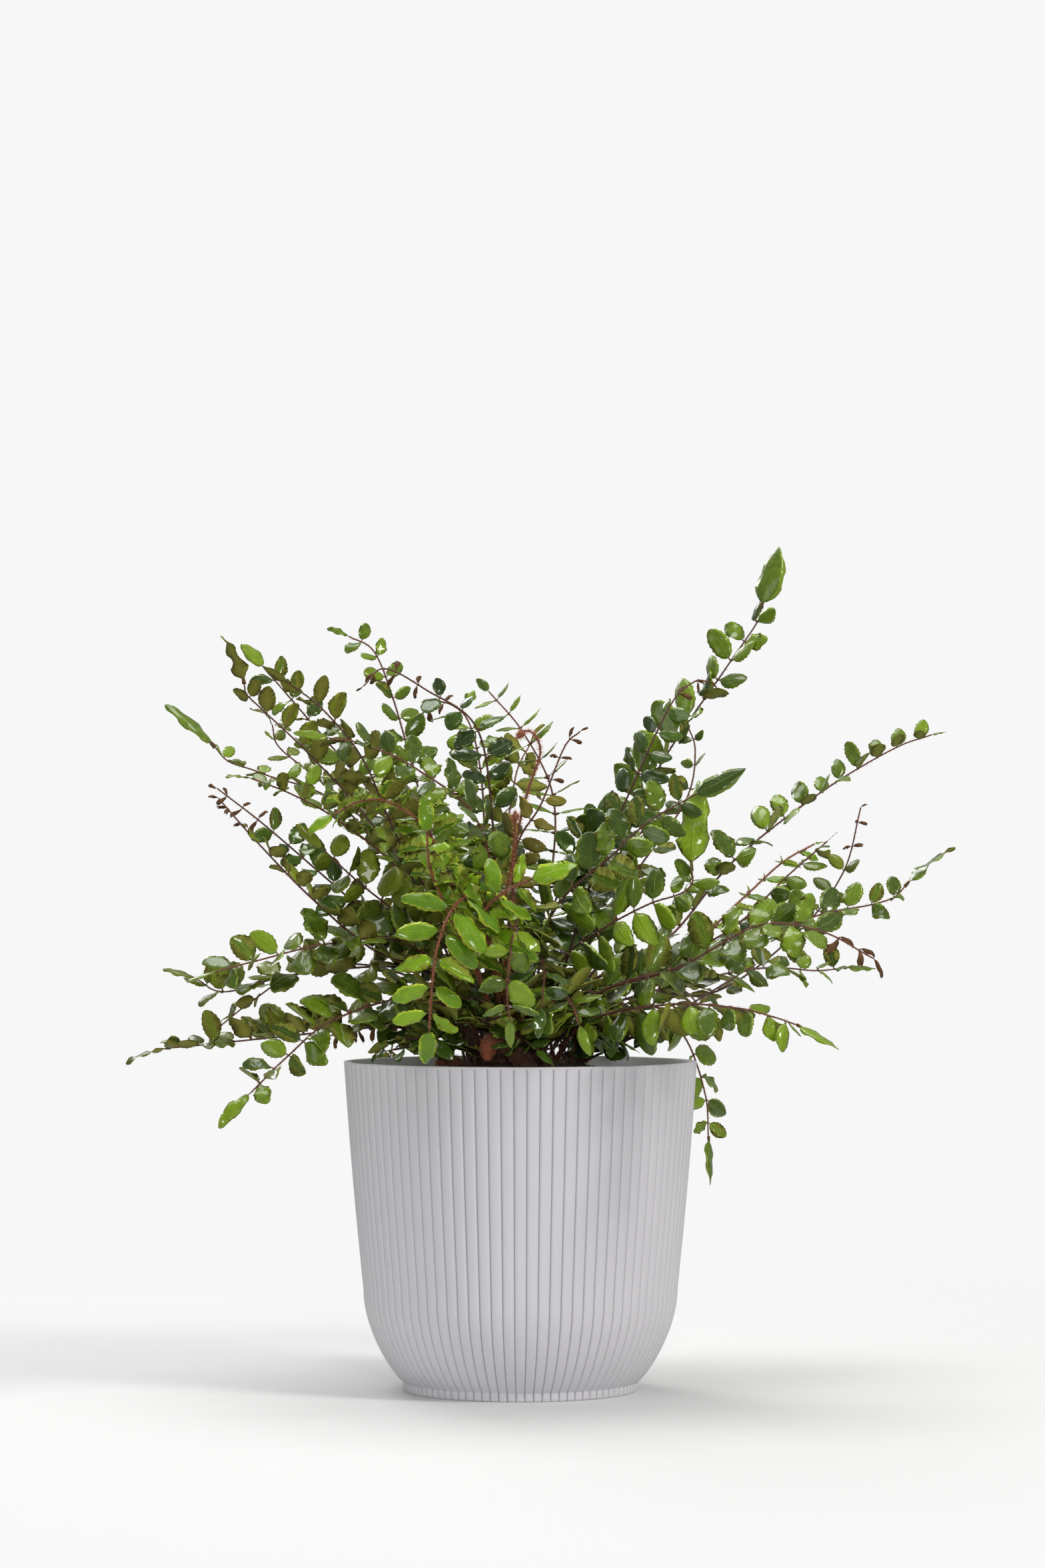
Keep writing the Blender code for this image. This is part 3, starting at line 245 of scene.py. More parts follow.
    "back_9": Frond(3, 9, 11.5, 8.0, 0.38, 20, 0.0, (-0.2, 0.2, 0.9), "dark",
        [(-30, 22, 34), (-50, 44, 52), (-62, 62, 56), (-72, 80, 50)]),
    # Stems with no leaflets: a hook that has not unrolled, a bud and a bare old stem.
    "crozier_1": Frond(1, 0, 0.0, 0.0, 1.00, 0, 0.0, (0.0, -1.0, 0.0), "young",
        [(-7, -30, 40), (-7, -32, 80), (-2, -32, 105), (3, -32, 120), (2, -33, 127), (-2, -34, 130),
         (-6, -36, 127)]),
    "crozier_2": Frond(1, 0, 0.0, 0.0, 1.00, 0, 0.0, (0.0, -1.0, 0.0), "young",
        [(-9, -48, 52), (-5, -56, 80), (-4, -58, 98)]),
    "bare_stem_1": Frond(3, 0, 0.0, 0.0, 1.00, 0, 0.0, (0.0, -1.0, 0.0), "bare",
        [(42, 20, 8), (64, 28, 20), (94, 36, 38)]),
}

LEAF_WIDTHS = {"narrow": 0.60, "bright": 0.55, "wavy": 0.72, "dry": 0.60}
USUAL_LEAF_WIDTH = 0.82
TIP_WIDTHS = {"green": 0.45, "gloss": 0.55, "olive": 0.55, "wavy": 0.50}
USUAL_TIP_WIDTH = 0.60
LEAF_TRIES = [(lift, turn, size)
              for size in (1.0, 0.85, 0.7, 0.55)
              for lift, turn in ((0, 0), (16, 0), (-16, 0), (0, 22), (0, -22), (28, 14), (-28, -14))]
FROND_SHIFTS = [(0.0, 0.0)] + [
    (reach * math.cos(math.radians(turn)), reach * math.sin(math.radians(turn)))
    for reach in (1.5, 3.0, 4.5, 6.0)
    for turn in range(0, 360, 45)
]

# From this share of the leafy part on, leaflets are withered and curled.
WITHERED_FROM = {
    "middle_2": 0.75, "middle_3": 0.85, "middle_5": 0.70, "left_high_6": 0.80, "right_2": 0.85,
    "right_6": 0.85, "right_high_2": 0.85, "left_low_6": 0.30, "left_high_7": 0.90,
}

NEVER_OLD = 9.0

# Fronds whose leaflets turn their upper sides this way.
TURNED_TO = {
    "front_1": (0.0, -0.7, 0.7), "front_2": (0.1, -0.9, 0.45), "front_4": (0.1, -0.8, 0.55),
}

# A leaflet's mesh, as shares of its length or width.
LEAF_ROWS = 13
LEAF_THICKNESS = 0.018
BLADE_START = 0.09
BLADE_LEAN = 0.06
VALLEY_DEPTH = 0.09
STALK_GIRTHS = (0.040, 0.032)

# Leaflet outlines and curves: bluntness of the outline (less is blunter), how far its broadest part
# is along, roll of the margins and bend along the midrib in radians, wave of the margin, twist in
# radians, and depth of the margin's teeth.
LEAF_SHAPES = {
    "domed": (0.60, 0.92, 0.45, 0.35, 0.010, 0.10, 0.045),
    "flat": (0.48, 0.95, 0.15, 0.15, 0.018, 0.15, 0.050),
    "cupped": (0.58, 0.90, -0.35, -0.12, 0.018, -0.20, 0.045),
    "bent": (0.58, 0.88, 0.35, 0.95, 0.016, 0.25, 0.045),
    "wavy": (0.58, 0.95, 0.20, 0.40, 0.055, -0.30, 0.055),
    "twisted": (0.58, 0.88, 0.30, 0.50, 0.030, 0.75, 0.045),
    "young_folded": (0.57, 0.90, -0.50, 0.40, 0.035, 0.30, 0.050),
    "young_open": (0.54, 0.93, 0.30, 0.60, 0.035, -0.30, 0.050),
    "young_wavy": (0.56, 0.91, -0.25, 0.45, 0.060, 0.45, 0.055),
    "slender": (0.80, 0.90, 0.30, 0.30, 0.010, 0.10, 0.035),
    "tip": (0.66, 0.76, 0.30, 0.25, 0.022, 0.10, 0.018),
    "tip_wavy": (0.62, 0.80, 0.20, 0.60, 0.050, 0.35, 0.035),
    "curled": (0.85, 0.85, 2.60, 1.70, 0.060, 1.20, 0.060),
}
USUAL_SHAPES = ("domed", "domed", "flat", "cupped", "bent", "wavy", "twisted")
KIND_SHAPES = {
    "bright": ("young_folded", "young_open", "young_wavy"),
    "narrow": ("slender",),
    "dry": ("curled", "bent", "twisted"),
}
SLOTS = {"bright": "leaf_young", "dark": "leaf_dark", "olive": "leaf_olive", "dry": "leaf_dry"}
USUAL_SLOT = "leaf_green"


def mix(a, b, share):
    return a + (b - a) * share


# ---------------------------------------------------------------- node trees


class Value:
    """A node's output that Python's operators add Math nodes to."""

    def __init__(self, graph, socket):
        self.graph = graph
        self.socket = socket

    def __add__(self, other):
        return self.graph.maths("ADD", self, other)

    def __sub__(self, other):
        return self.graph.maths("SUBTRACT", self, other)

    def __rsub__(self, other):
        return self.graph.maths("SUBTRACT", other, self)

    def __mul__(self, other):
        return self.graph.maths("MULTIPLY", self, other)

    def __truediv__(self, other):
        return self.graph.maths("DIVIDE", self, other)

    def __pow__(self, other):
        return self.graph.maths("POWER", self, other)

    def __abs__(self):
        return self.graph.maths("ABSOLUTE", self)

    __radd__ = __add__
    __rmul__ = __mul__


class Graph:
    """A node tree under construction. add() makes any node."""

    def __init__(self, tree):
        self.tree = tree

    def add(self, kind, settings=None, sockets=None, out=0):
        """Makes a node, gives it its settings, then values or links to its sockets."""
        node = self.tree.nodes.new(kind)
        for key, value in (settings or {}).items():
            setattr(node, key, value)
        for key, value in (sockets or {}).items():
            for part in value if isinstance(value, list) else [value]:
                if isinstance(part, Value):
                    self.tree.links.new(part.socket, node.inputs[key])
                else:
                    node.inputs[key].default_value = part
        return Value(self, node.outputs[out]) if len(node.outputs) else node

    def more(self, value, out):
        """Another output of the node that made a value."""
        return Value(self, value.socket.node.outputs[out])

    def maths(self, operation, *operands):
        return self.add("ShaderNodeMath", {"operation": operation}, dict(enumerate(operands)))

    def smooth(self, value, low, high):
        """0 below low to 1 above high, with soft ends."""
        return self.add("ShaderNodeMapRange", {"interpolation_type": "SMOOTHSTEP"},
                        {"Value": value, "From Min": low, "From Max": high})

    def blend(self, share, *colours):
        """The first colour at share 0 to the second at share 1."""
        a, b = (colour if isinstance(colour, Value) else (*colour, 1.0) for colour in colours)
        return self.add("ShaderNodeMix", {"data_type": "RGBA"}, {0: share, 6: a, 7: b}, out=2)

    def attribute(self, name):
        """A number that the mesh carries."""
        return self.add("ShaderNodeAttribute", {"attribute_name": name}, out="Fac")

    def noise(self, scale, detail=2.0, roughness=0.5, stretch=(1, 1, 1)):
        """Noise from 0 to 1 in the part's frame, with scale features to the metre."""
        place = self.add("ShaderNodeTexCoord", out="Object")
        place = self.add("ShaderNodeMapping", None, {"Vector": place, "Scale": stretch})
        return self.add("ShaderNodeTexNoise", None,
                        {"Vector": place, "Scale": scale, "Detail": detail, "Roughness": roughness})

    def carried(self, name, kind):
        """What each point of the geometry carries under this name."""
        return self.add("GeometryNodeInputNamedAttribute", {"data_type": kind}, {"Name": name})

    def random(self, low, high, seed):
        """A random vector for each point, or a random number."""
        kind, out = ("FLOAT_VECTOR", 0) if isinstance(low, tuple) else ("FLOAT", 1)
        return self.add("FunctionNodeRandomValue", {"data_type": kind},
                        {"Min": low, "Max": high, "Seed": seed}, out=out)

    def turned(self, angles):
        return self.add("FunctionNodeEulerToRotation", None, {"Euler": angles})

    def choices(self, collection):
        """The collection's shapes, one of which goes on each point."""
        return self.add("GeometryNodeCollectionInfo", None, {
            "Collection": collection, "Separate Children": True, "Reset Children": True})

    def placed(self, **sockets):
        """Instances on points, made real."""
        given = {key.replace("_", " "): value for key, value in sockets.items()}
        instances = self.add("GeometryNodeInstanceOnPoints", None, given)
        return self.add("GeometryNodeRealizeInstances", None, {"Geometry": instances})

    def coated(self, geometry, material):
        return self.add("GeometryNodeSetMaterial", None, {"Geometry": geometry, "Material": material})


def new_material(name):
    """A material, its graph and its Principled shader's inputs."""
    made = bpy.data.materials.new(name)
    made.use_nodes = True
    graph = Graph(made.node_tree)
    shader = made.node_tree.nodes["Principled BSDF"]

    def feed(**sockets):
        for key, value in sockets.items():
            socket = shader.inputs[key.replace("_", " ")]
            if isinstance(value, Value):
                made.node_tree.links.new(value.socket, socket)
            else:
                socket.default_value = value

    return made, graph, feed


def bump(graph, height, distance, strength=1.0):
    """A Bump node's normal, for a height from 0 to 1 over this distance in mm."""
    return graph.add("ShaderNodeBump", None,
                     {"Height": height, "Distance": distance * MM, "Strength": strength})


def geometry_tree(name, inputs):
    """A Geometry Nodes tree with these named inputs, its graph and their values."""
    tree = bpy.data.node_groups.new(name, "GeometryNodeTree")
    tree.interface.new_socket("Geometry", in_out="INPUT", socket_type="NodeSocketGeometry")
    for label, kind in inputs.items():
        tree.interface.new_socket(label, in_out="INPUT", socket_type=kind)
    tree.interface.new_socket("Geometry", in_out="OUTPUT", socket_type="NodeSocketGeometry")
    graph = Graph(tree)
    entry = graph.add("NodeGroupInput")
    given = {label: graph.more(entry, label) for label in ("Geometry", *inputs)}
    return tree, graph, given


def finish_tree(graph, geometry):
    graph.add("NodeGroupOutput", None, {"Geometry": geometry})


def grown(name, mesh, tree, values):
    """The plain object that a tree makes of a mesh, with values for the tree's named inputs."""
    source = linked(name + "_source", mesh)
    modifier = source.modifiers.new("grow", "NODES")
    modifier.node_group = tree
    for item in tree.interface.items_tree:
        if item.item_type == "SOCKET" and item.in_out == "INPUT" and item.name in values:
            modifier[item.identifier] = values[item.name]
    graph = bpy.context.evaluated_depsgraph_get()
    made = bpy.data.meshes.new_from_object(source.evaluated_get(graph), depsgraph=graph)
    made.name = name
    source.modifiers.remove(modifier)
    bpy.data.objects.remove(source)
    bpy.data.meshes.remove(mesh)
    return linked(name, made)


def linked(name, data):
    made = bpy.data.objects.new(name, data)
    bpy.context.scene.collection.objects.link(made)
    return made


def held(name, shapes):
    """A collection, outside the scene, of objects made of these meshes."""
    holder = bpy.data.collections.new(name)
    for mesh in shapes:
        holder.objects.link(bpy.data.objects.new(mesh.name, mesh))
    return holder


def meshed(name, bm, size=1.0):
    """A mesh of a bmesh that is drawn in units of this size."""
    bmesh.ops.scale(bm, vec=(size, size, size), verts=bm.verts)
    mesh = bpy.data.meshes.new(name)
    bm.to_mesh(mesh)
    bm.free()
    return mesh


def settle(piece, slot, *nodes):
    """Puts a finished piece on the part's one body, in place of its solids."""
    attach(piece, "root")
    if nodes:
        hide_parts(*nodes)


def give_points(mesh, name, kind, values):
    """An attribute of one number or vector for each point of a mesh."""
    made = mesh.attributes.new(name, kind, "POINT")
    key = "vector" if kind == "FLOAT_VECTOR" else "value"
    made.data.foreach_set(key, np.array(values, np.float32 if kind != "INT" else np.int32).ravel())


# ---------------------------------------------------------------- finishes


def leaf_finish(name, upper, bright, margin, under, gloss, shine):
    """A leaflet's skin: veined and puckered above, matt below, paler at the margin."""
    made, graph, feed = new_material(name)
    along, side = graph.attribute("along"), abs(graph.attribute("across"))
    below, tone = graph.attribute("below"), graph.attribute("tone")
    withered = graph.attribute("withered")
    mottle = graph.noise(420.0, 3.0)
    fine = graph.noise(1500.0, 2.0)
    patches = graph.noise(130.0, 2.0)

    vein_wave = graph.maths("SINE", (along + side * 0.28) * 62.0)
    blade = graph.smooth(side, 0.05, 0.2) * (1 - graph.smooth(side, 0.8, 0.95))
    veins = graph.smooth(vein_wave, 0.72, 1.0) * blade
    midrib = 1 - graph.smooth(side, 0.02, 0.10)
    rim = graph.smooth(side + (mottle - 0.5) * 0.18, 0.66, 0.96)
    shade = graph.smooth(tone * 0.85 + (mottle - 0.5) * 0.5, 0.0, 1.0)

    skin = graph.blend(shade, upper, bright)
    skin = graph.blend(midrib * 0.12 + veins * 0.12, skin, margin)
    skin = graph.blend(rim * 0.85, skin, margin)
    back = graph.blend(mottle * 0.6 + tone * 0.3, under, tuple(0.62 * part for part in under))
    back = graph.blend(veins * 0.25 + midrib * 0.4, back, tuple(1.35 * part for part in under))
    spores = graph.smooth(side, 0.70, 0.92) * graph.smooth(patches + tone * 0.25, 0.66, 0.80)
    back = graph.blend(spores * 0.85, back, (0.085, 0.032, 0.017))
    colour = graph.blend(below, skin, back)
    stalk = 1 - graph.smooth(along, -0.01, 0.03)
    colour = graph.blend(stalk * 0.85, colour, (0.10, 0.035, 0.018))
    scorch = graph.smooth(withered * 1.3 + (patches - 0.5) * 0.9 + side * 0.12 + along * 0.06, 0.48, 0.80)
    brown = graph.blend(mottle, (0.030, 0.012, 0.008), (0.19, 0.080, 0.036))
    colour = graph.blend(scorch, colour, brown)

    pucker = mottle * 0.9 + fine * 0.15 - veins * 0.30 - midrib * 0.55
    feed(Base_Color=colour,
         Roughness=gloss + below * 0.25 + fine * 0.12 + scorch * 0.25,
         Coat_Weight=(1 - below) * (1 - scorch) * shine,
         Coat_Roughness=0.08,
         Specular_IOR_Level=0.32,
         Specular_Tint=(0.9, 1.0, 0.45, 1.0),
         Normal=bump(graph, pucker, 0.35, 1.0))
    return made


def stem_finish():
    made, graph, feed = new_material("stem_bark")
    youth = graph.attribute("youth")
    streaks = graph.noise(900.0, 3.0, stretch=(1, 1, 0.25))
    dark = graph.blend(streaks, (0.010, 0.006, 0.005), (0.045, 0.018, 0.013))
    fresh = graph.blend(streaks, (0.080, 0.026, 0.012), (0.30, 0.085, 0.034))
    feed(Base_Color=graph.blend(youth, dark, fresh),
         Roughness=0.38 + streaks * 0.25,
         Normal=bump(graph, streaks, 0.12))
    return made


def scale_finish():
    """The short papery scales on stems and rhizome."""
    made, graph, feed = new_material("stem_scales")
    youth = graph.attribute("youth")
    spread = graph.noise(700.0, 2.0)
    old = graph.blend(spread, (0.050, 0.027, 0.018), (0.26, 0.135, 0.085))
    fresh = graph.blend(spread, (0.36, 0.10, 0.040), (0.80, 0.34, 0.16))
    feed(Base_Color=graph.blend(youth, old, fresh), Roughness=0.55 + spread * 0.2)
    return made


def pot_finish():
    """Matt moulded plastic with a fine grain and faint marks from handling, its inner wall painted paler as
    painted light.
    """
    made, graph, feed = new_material("cover_pot_plastic")
    grain = graph.noise(3200.0, 3.0, 0.7)
    clouds = graph.noise(28.0, 3.0)
    marks = graph.smooth(graph.noise(160.0, 4.0, 0.65, (1, 1, 0.35)), 0.62, 0.78)
    colour = graph.blend(grain * 0.7 + clouds * 0.3, (0.500, 0.490, 0.512), (0.595, 0.585, 0.606))
    # Painted light: faces marked inside are painted near white, a lit copy of the same plastic that stands in
    # for light reaching the inner wall.
    colour = graph.blend(graph.attribute("inside"), colour, (0.86, 0.86, 0.87))
    feed(Base_Color=graph.blend(marks * 0.10, colour, (0.46, 0.45, 0.46)),
         Roughness=0.42 + grain * 0.16 + marks * 0.06,
         Normal=bump(graph, grain * 0.8 + clouds * 0.2, 0.05, 0.6))
    return made


def nursery_finish():
    made, graph, feed = new_material("nursery_pot_plastic")
    grain = graph.noise(1400.0, 3.0, 0.6)
    scuffs = graph.smooth(graph.noise(210.0, 5.0, 0.7), 0.58, 0.75)
    colour = graph.blend(scuffs * 0.5, (0.012, 0.012, 0.013), (0.055, 0.050, 0.045))
    feed(Base_Color=colour, Roughness=0.36 + grain * 0.2 + scuffs * 0.15,
         Normal=bump(graph, grain, 0.08, 0.5))
    return made


def soil_finish(name, dark, light):
    made, graph, feed = new_material(name)
    crumbs = graph.noise(650.0, 5.0, 0.7)
    damp = graph.noise(60.0, 2.0)
    colour = graph.blend(crumbs * 0.8 + damp * 0.3 - 0.1, dark, light)
    feed(Base_Color=colour, Roughness=0.72 + crumbs * 0.25, Normal=bump(graph, crumbs, 0.9))
    return made


def rhizome_finish():
    made, graph, feed = new_material("rhizome_bark")
    ridges = graph.noise(480.0, 4.0, 0.65)
    youth = graph.attribute("youth")
    old = graph.blend(ridges, (0.010, 0.006, 0.005), (0.070, 0.030, 0.018))
    colour = graph.blend(youth, old, graph.blend(ridges, (0.20, 0.046, 0.020), (0.66, 0.19, 0.085)))
    feed(Base_Color=colour, Roughness=0.6 + ridges * 0.3, Normal=bump(graph, ridges, 0.6))
    return made


def floor_finish():
    made, graph, feed = new_material("pale_floor")
    tooth = graph.noise(90.0, 2.0)
    place = graph.add("ShaderNodeTexCoord", out="Object")
    reach = graph.add("ShaderNodeVectorMath", {"operation": "LENGTH"}, {0: place}, out="Value")
    feed(Base_Color=graph.blend(tooth, (0.73, 0.73, 0.73), (0.75, 0.75, 0.75)),
         Roughness=0.9,
         Alpha=1 - graph.smooth(reach, 0.12 * FLOOR_RADIUS, 0.60 * FLOOR_RADIUS))
    return made


# Each skin's darkest and brightest upper side, margin, lower side, roughness and shine.
LEAF_FINISHES = {
    "leaf_green": ((0.024, 0.052, 0.003), (0.195, 0.305, 0.010), (0.26, 0.37, 0.030),
                   (0.225, 0.235, 0.034), 0.33, 0.60),
    "leaf_dark": ((0.012, 0.031, 0.005), (0.078, 0.155, 0.010), (0.12, 0.21, 0.022),
                  (0.185, 0.195, 0.034), 0.26, 0.80),
    "leaf_young": ((0.058, 0.150, 0.003), (0.210, 0.380, 0.007), (0.58, 0.70, 0.050),
                   (0.28, 0.34, 0.034), 0.34, 0.40),
    "leaf_olive": ((0.040, 0.068, 0.004), (0.190, 0.240, 0.011), (0.28, 0.30, 0.040),
                   (0.225, 0.220, 0.036), 0.38, 0.30),
    "leaf_dry": ((0.095, 0.080, 0.013), (0.190, 0.165, 0.022), (0.29, 0.20, 0.050),
                 (0.25, 0.16, 0.050), 0.48, 0.05),
}


class Kit(NamedTuple):
    """What every frond is made with."""

    shapes: object
    leaves: object
    skins: dict
    stems: object
    bark: object
    scales: object
    bristle: object


def make_kit():
    """The leaflet shapes are numbered, because a collection gives its objects in their names' order."""
    shapes = held("leaf_shapes", [leaf_mesh(f"shape_{number:02d}_{name}", *curves, teeth=teeth)
                                  for number, (name, (*curves, teeth)) in enumerate(LEAF_SHAPES.items())])
    skins = {slot: leaf_finish(slot + "_skin", *colours) for slot, colours in LEAF_FINISHES.items()}
    bristle = held("bristle_holder", [bristle_mesh()]).objects[0]
    return Kit(shapes, leaflet_tree(), skins, stem_tree(), stem_finish(), scale_finish(), bristle)


# ---------------------------------------------------------------- a frond's course and leaflets


def moved(point, shift):
    """A point given from the rim's height, in the part's frame."""
    return Vector((point[0] + shift[0], point[1] + shift[1], point[2] + POT_HEIGHT))


def smooth_course(points, step):
    """Points a step apart on a Catmull-Rom curve through the given points."""
    ends = [2 * points[0] - points[1], *points, 2 * points[-1] - points[-2]]
    dense = [points[0]]
    for before, start, stop, after in zip(ends, ends[1:], ends[2:], ends[3:]):
        for tick in range(1, 17):
            t = tick / 16
            dense.append(0.5 * (2 * start + (stop - before) * t
                                + (2 * before - 5 * start + 4 * stop - after) * t**2
                                + (3 * start - before - 3 * stop + after) * t**3))
    lengths = [0.0]
    for start, stop in zip(dense, dense[1:]):
        lengths.append(lengths[-1] + (stop - start).length)
    count = max(round(lengths[-1] / step), 4)
    course, at = [], 0
    for number in range(count + 1):
        wanted = lengths[-1] * number / count
        while at < len(dense) - 2 and lengths[at + 1] < wanted:
            at += 1
        share = (wanted - lengths[at]) / (lengths[at + 1] - lengths[at])
        course.append(dense[at].lerp(dense[at + 1], share))
    return course


class Stem:
    """A frond's course, with the directions along it, across it and out of its upper side."""

    def __init__(self, frond, shift, ground):
        via = [moved(point, shift) for point in frond.via]
        heading = Vector((via[0].x, via[0].y)).normalized() * CROWN_SPREAD * frond.ring
        base = Vector((heading.x + shift[0] / 2, heading.y + shift[1] / 2, POT_HEIGHT + 40))
        hit = ground.ray_cast(base, Vector((0, 0, -1)))[0]
        base.z = hit.z + STEM_RADIUS + 2 * GAP
        self.course = smooth_course([base, *via], 1.0)
        self.length = sum((b - a).length for a, b in zip(self.course, self.course[1:]))
        last = len(self.course) - 1
        self.along = [(self.course[min(i + 1, last)] - self.course[max(i - 1, 0)]).normalized()
                      for i in range(last + 1)]
        chosen = round(0.7 * last)
        face = Vector(frond.face)
        self.out = [None] * (last + 1)
        self.out[chosen] = (face - face.dot(self.along[chosen]) * self.along[chosen]).normalized()
        for i in [*range(chosen + 1, last + 1), *range(chosen - 1, -1, -1)]:
            near = self.out[i - 1] if i > chosen else self.out[i + 1]
            self.out[i] = (near - near.dot(self.along[i]) * self.along[i]).normalized()

    def at(self, distance):
        """Place, direction along, upper side and radius at a distance from the crown."""
        place = min(max(distance / self.length, 0.0), 1.0) * (len(self.course) - 1)
        i = min(int(place), len(self.course) - 2)
        share = place - i
        along = self.along[i].lerp(self.along[i + 1], share).normalized()
        out = self.out[i].lerp(self.out[i + 1], share)
        out = (out - out.dot(along) * along).normalized()
        radius = mix(STEM_RADIUS, STEM_TIP_RADIUS, (i + share) / (len(self.course) - 1))
        return self.course[i].lerp(self.course[i + 1], share), along, out, radius

    def first_corner(self):
        """A corner of the stem's solid where it leaves the crown."""
        place, along, out, radius = self.at(0.0)
        return place + (-0.87 * along.cross(out) + 0.5 * out) * radius


class Leaflet(NamedTuple):
    """Where one leaflet is: its foot on the stem, its length and width directions, its upper side."""

    foot: Vector
    run: Vector
    wide: Vector
    out: Vector
    length: float
    width: float

    def front(self):
        """The corner of the leaflet's solid half way along its leading margin."""
        droop = -0.05 * self.length * self.out
        return self.foot + 0.52 * self.length * self.run + self.width / 2 * self.wide + droop

    def tip(self):
        return self.foot + self.length * self.run


def leaf_size(share):
    """A leaflet's size along the leafy part, from its first pair at 0 to the last at 1."""
    return 0.86 + 0.14 * math.sin(math.pi * min(0.25 + share, 1.0)) - 0.22 * share**3


def place_leaflet(frond, stem, distance, side, share, wobble, tried):
    """A leaflet at this distance on the stem, on the side -1 or 1, or 0 for the end of the frond."""
    lift, turn, size = tried
    place, along, out, radius = stem.at(distance)
    across = along.cross(out) * (side or 1)
    if side:
        sweep = math.radians(78 - 16 * share + 7 * wobble[0])
        raised = math.radians(frond.fold + 10 * wobble[1] + lift)
        aside = math.cos(raised) * across + math.sin(raised) * out
        run = math.cos(sweep) * along + math.sin(sweep) * aside
        foot = place + 0.3 * radius * across
        length = frond.leaf * leaf_size(share) * (1 + 0.1 * wobble[2]) * size
        width = length * LEAF_WIDTHS.get(frond.kind, USUAL_LEAF_WIDTH)
    else:
        run, foot = along, place
        length = frond.tip * size
        width = TIP_WIDTHS.get(frond.kind, USUAL_TIP_WIDTH) * length
    wide = (along - along.dot(run) * run).normalized() if side else across
    upper = wide.cross(run).normalized()
    if upper.dot(out) < 0:
        upper = -upper
    sky = Vector((0, 0, 1))
    twist = math.radians(turn + 12 * wobble[3])
    if side:
        twist -= frond.level * math.atan2(sky.dot(wide), sky.dot(upper))
    wide, upper = (math.cos(twist) * wide + math.sin(twist) * upper,
                   math.cos(twist) * upper - math.sin(twist) * wide)
    return Leaflet(foot, run.normalized(), wide, upper, length, width)


def stations(frond, stem):
    """How far along the stem the leafy part starts, and the step from pair to pair."""
    start = frond.bare * stem.length
    return start, (stem.length - start) / (frond.pairs - 0.3)


def leaf_spots(frond, stem, lead):
    """Each leaflet's side, place along the stem and share of the leafy part, the end one first."""
    start, pitch = stations(frond, stem)
    spots = [(0, stem.length, 1.0)]
    for number in range(frond.pairs):
        share = number / (frond.pairs - 1)
        spots += [(side, start + pitch * number + lead, share) for side in (-1, 1)]
    return spots


def drawn(chance):
    """Four numbers from -1 to 1 that make a leaflet differ from the rule."""
    return [chance.uniform(-1, 1) for _ in range(4)]


class Corners:
    """The corners of one of the part's solids, in mm, to find which of them a rule gives."""

    NEAR = 0.02

    def __init__(self, node):
        vertices = frame["nodes"][node].data.vertices
        self.tree = KDTree(len(vertices))
        for number, vertex in enumerate(vertices):
            self.tree.insert(vertex.co / MM, number)
        self.tree.balance()

    def has(self, *points):
        return all(self.tree.find(point)[2] < self.NEAR for point in points)


def find_stem(name, frond, ground):
    """The stem as the part has it: the first shift that gives a corner of its solid."""
    corners = Corners("frond_" + name)
    for shift in FROND_SHIFTS:
        stem = Stem(frond, shift, ground)
        if corners.has(stem.first_corner()):
            return stem, corners
    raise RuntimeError("no shift gives the stem of " + name)


def find_leaflets(number, name, frond, stem, corners):
    """The part's leaflets on this stem, each with its side and its share of the leafy part.

    A leaflet that the part makes smaller, or leaves out, for want of room is full size here.
    """
    chance = random.Random(number)
    found = []
    for side, distance, share in leaf_spots(frond, stem, STALK_LENGTH / 2):
        wobble = drawn(chance)
        chosen = place_leaflet(frond, stem, distance, side, share, wobble, LEAF_TRIES[0])
        for tried in LEAF_TRIES:
            leaflet = place_leaflet(frond, stem, distance, side, share, wobble, tried)
            if corners.has(leaflet.tip(), leaflet.front()):
                size = tried[2]
                chosen = leaflet._replace(length=leaflet.length / size, width=leaflet.width / size)
                break
        if name in TURNED_TO:
            chosen = turned_to(chosen, Vector(TURNED_TO[name]))
        found.append((chosen, side, share))
    return found


def turned_to(leaflet, wanted):
    """The leaflet turned about its midrib until its upper side is as near this direction as it gets."""
    out = (wanted - wanted.dot(leaflet.run) * leaflet.run).normalized()
    wide = leaflet.run.cross(out)
    return leaflet._replace(out=out, wide=wide if wide.dot(leaflet.wide) > 0 else -wide)


def lower_leaflets(number, name, frond, stem):
    """More leaflets on the bare lower part of a stem, where the part leaves them out."""
    if frond.kind in ("bright", "young", "dry", "narrow"):
        return []
    chance = random.Random(500 + number)
    start, pitch = stations(frond, stem)
    often = 0.35 if name.startswith("middle") else 0.65
    found = []
    distance = start - pitch
    while distance > LOWEST_LEAF * stem.length:
        for side in (-1, 1):
            if chance.random() < often:
                wobble = drawn(chance)
                tried = (0, 0, chance.uniform(0.75, 0.95))
                found.append((place_leaflet(frond, stem, distance, side, 0.0, wobble, tried), side, 0.0))
        distance -= 1.2 * pitch
    return found


# ---------------------------------------------------------------- leaflets


def leaf_surface(bluntness, broadest, roll, bend, wave, twist):
    """The blade as a function: how far along it, across it and out of it, to a place."""

    def surface(along, across, rise):
        half = 0.5 * math.sin(math.pi * along**broadest) ** bluntness
        angle = roll * across
        x = half * math.sin(angle) / roll + BLADE_LEAN * math.sin(math.pi * along)
        z = rise - half * (1 - math.cos(angle)) / roll
        z += wave * math.sin(14.0 * along + 2.0 * across) * across**2 + VALLEY_DEPTH * half * abs(across)
        turn = twist * (along - 0.5)
        x, z = x * math.cos(turn) - z * math.sin(turn), x * math.sin(turn) + z * math.cos(turn)
        y = mix(BLADE_START, 1.0, along)
        return Vector((x, math.sin(bend * y) / bend, z - (1 - math.cos(bend * y)) / bend))

    return surface


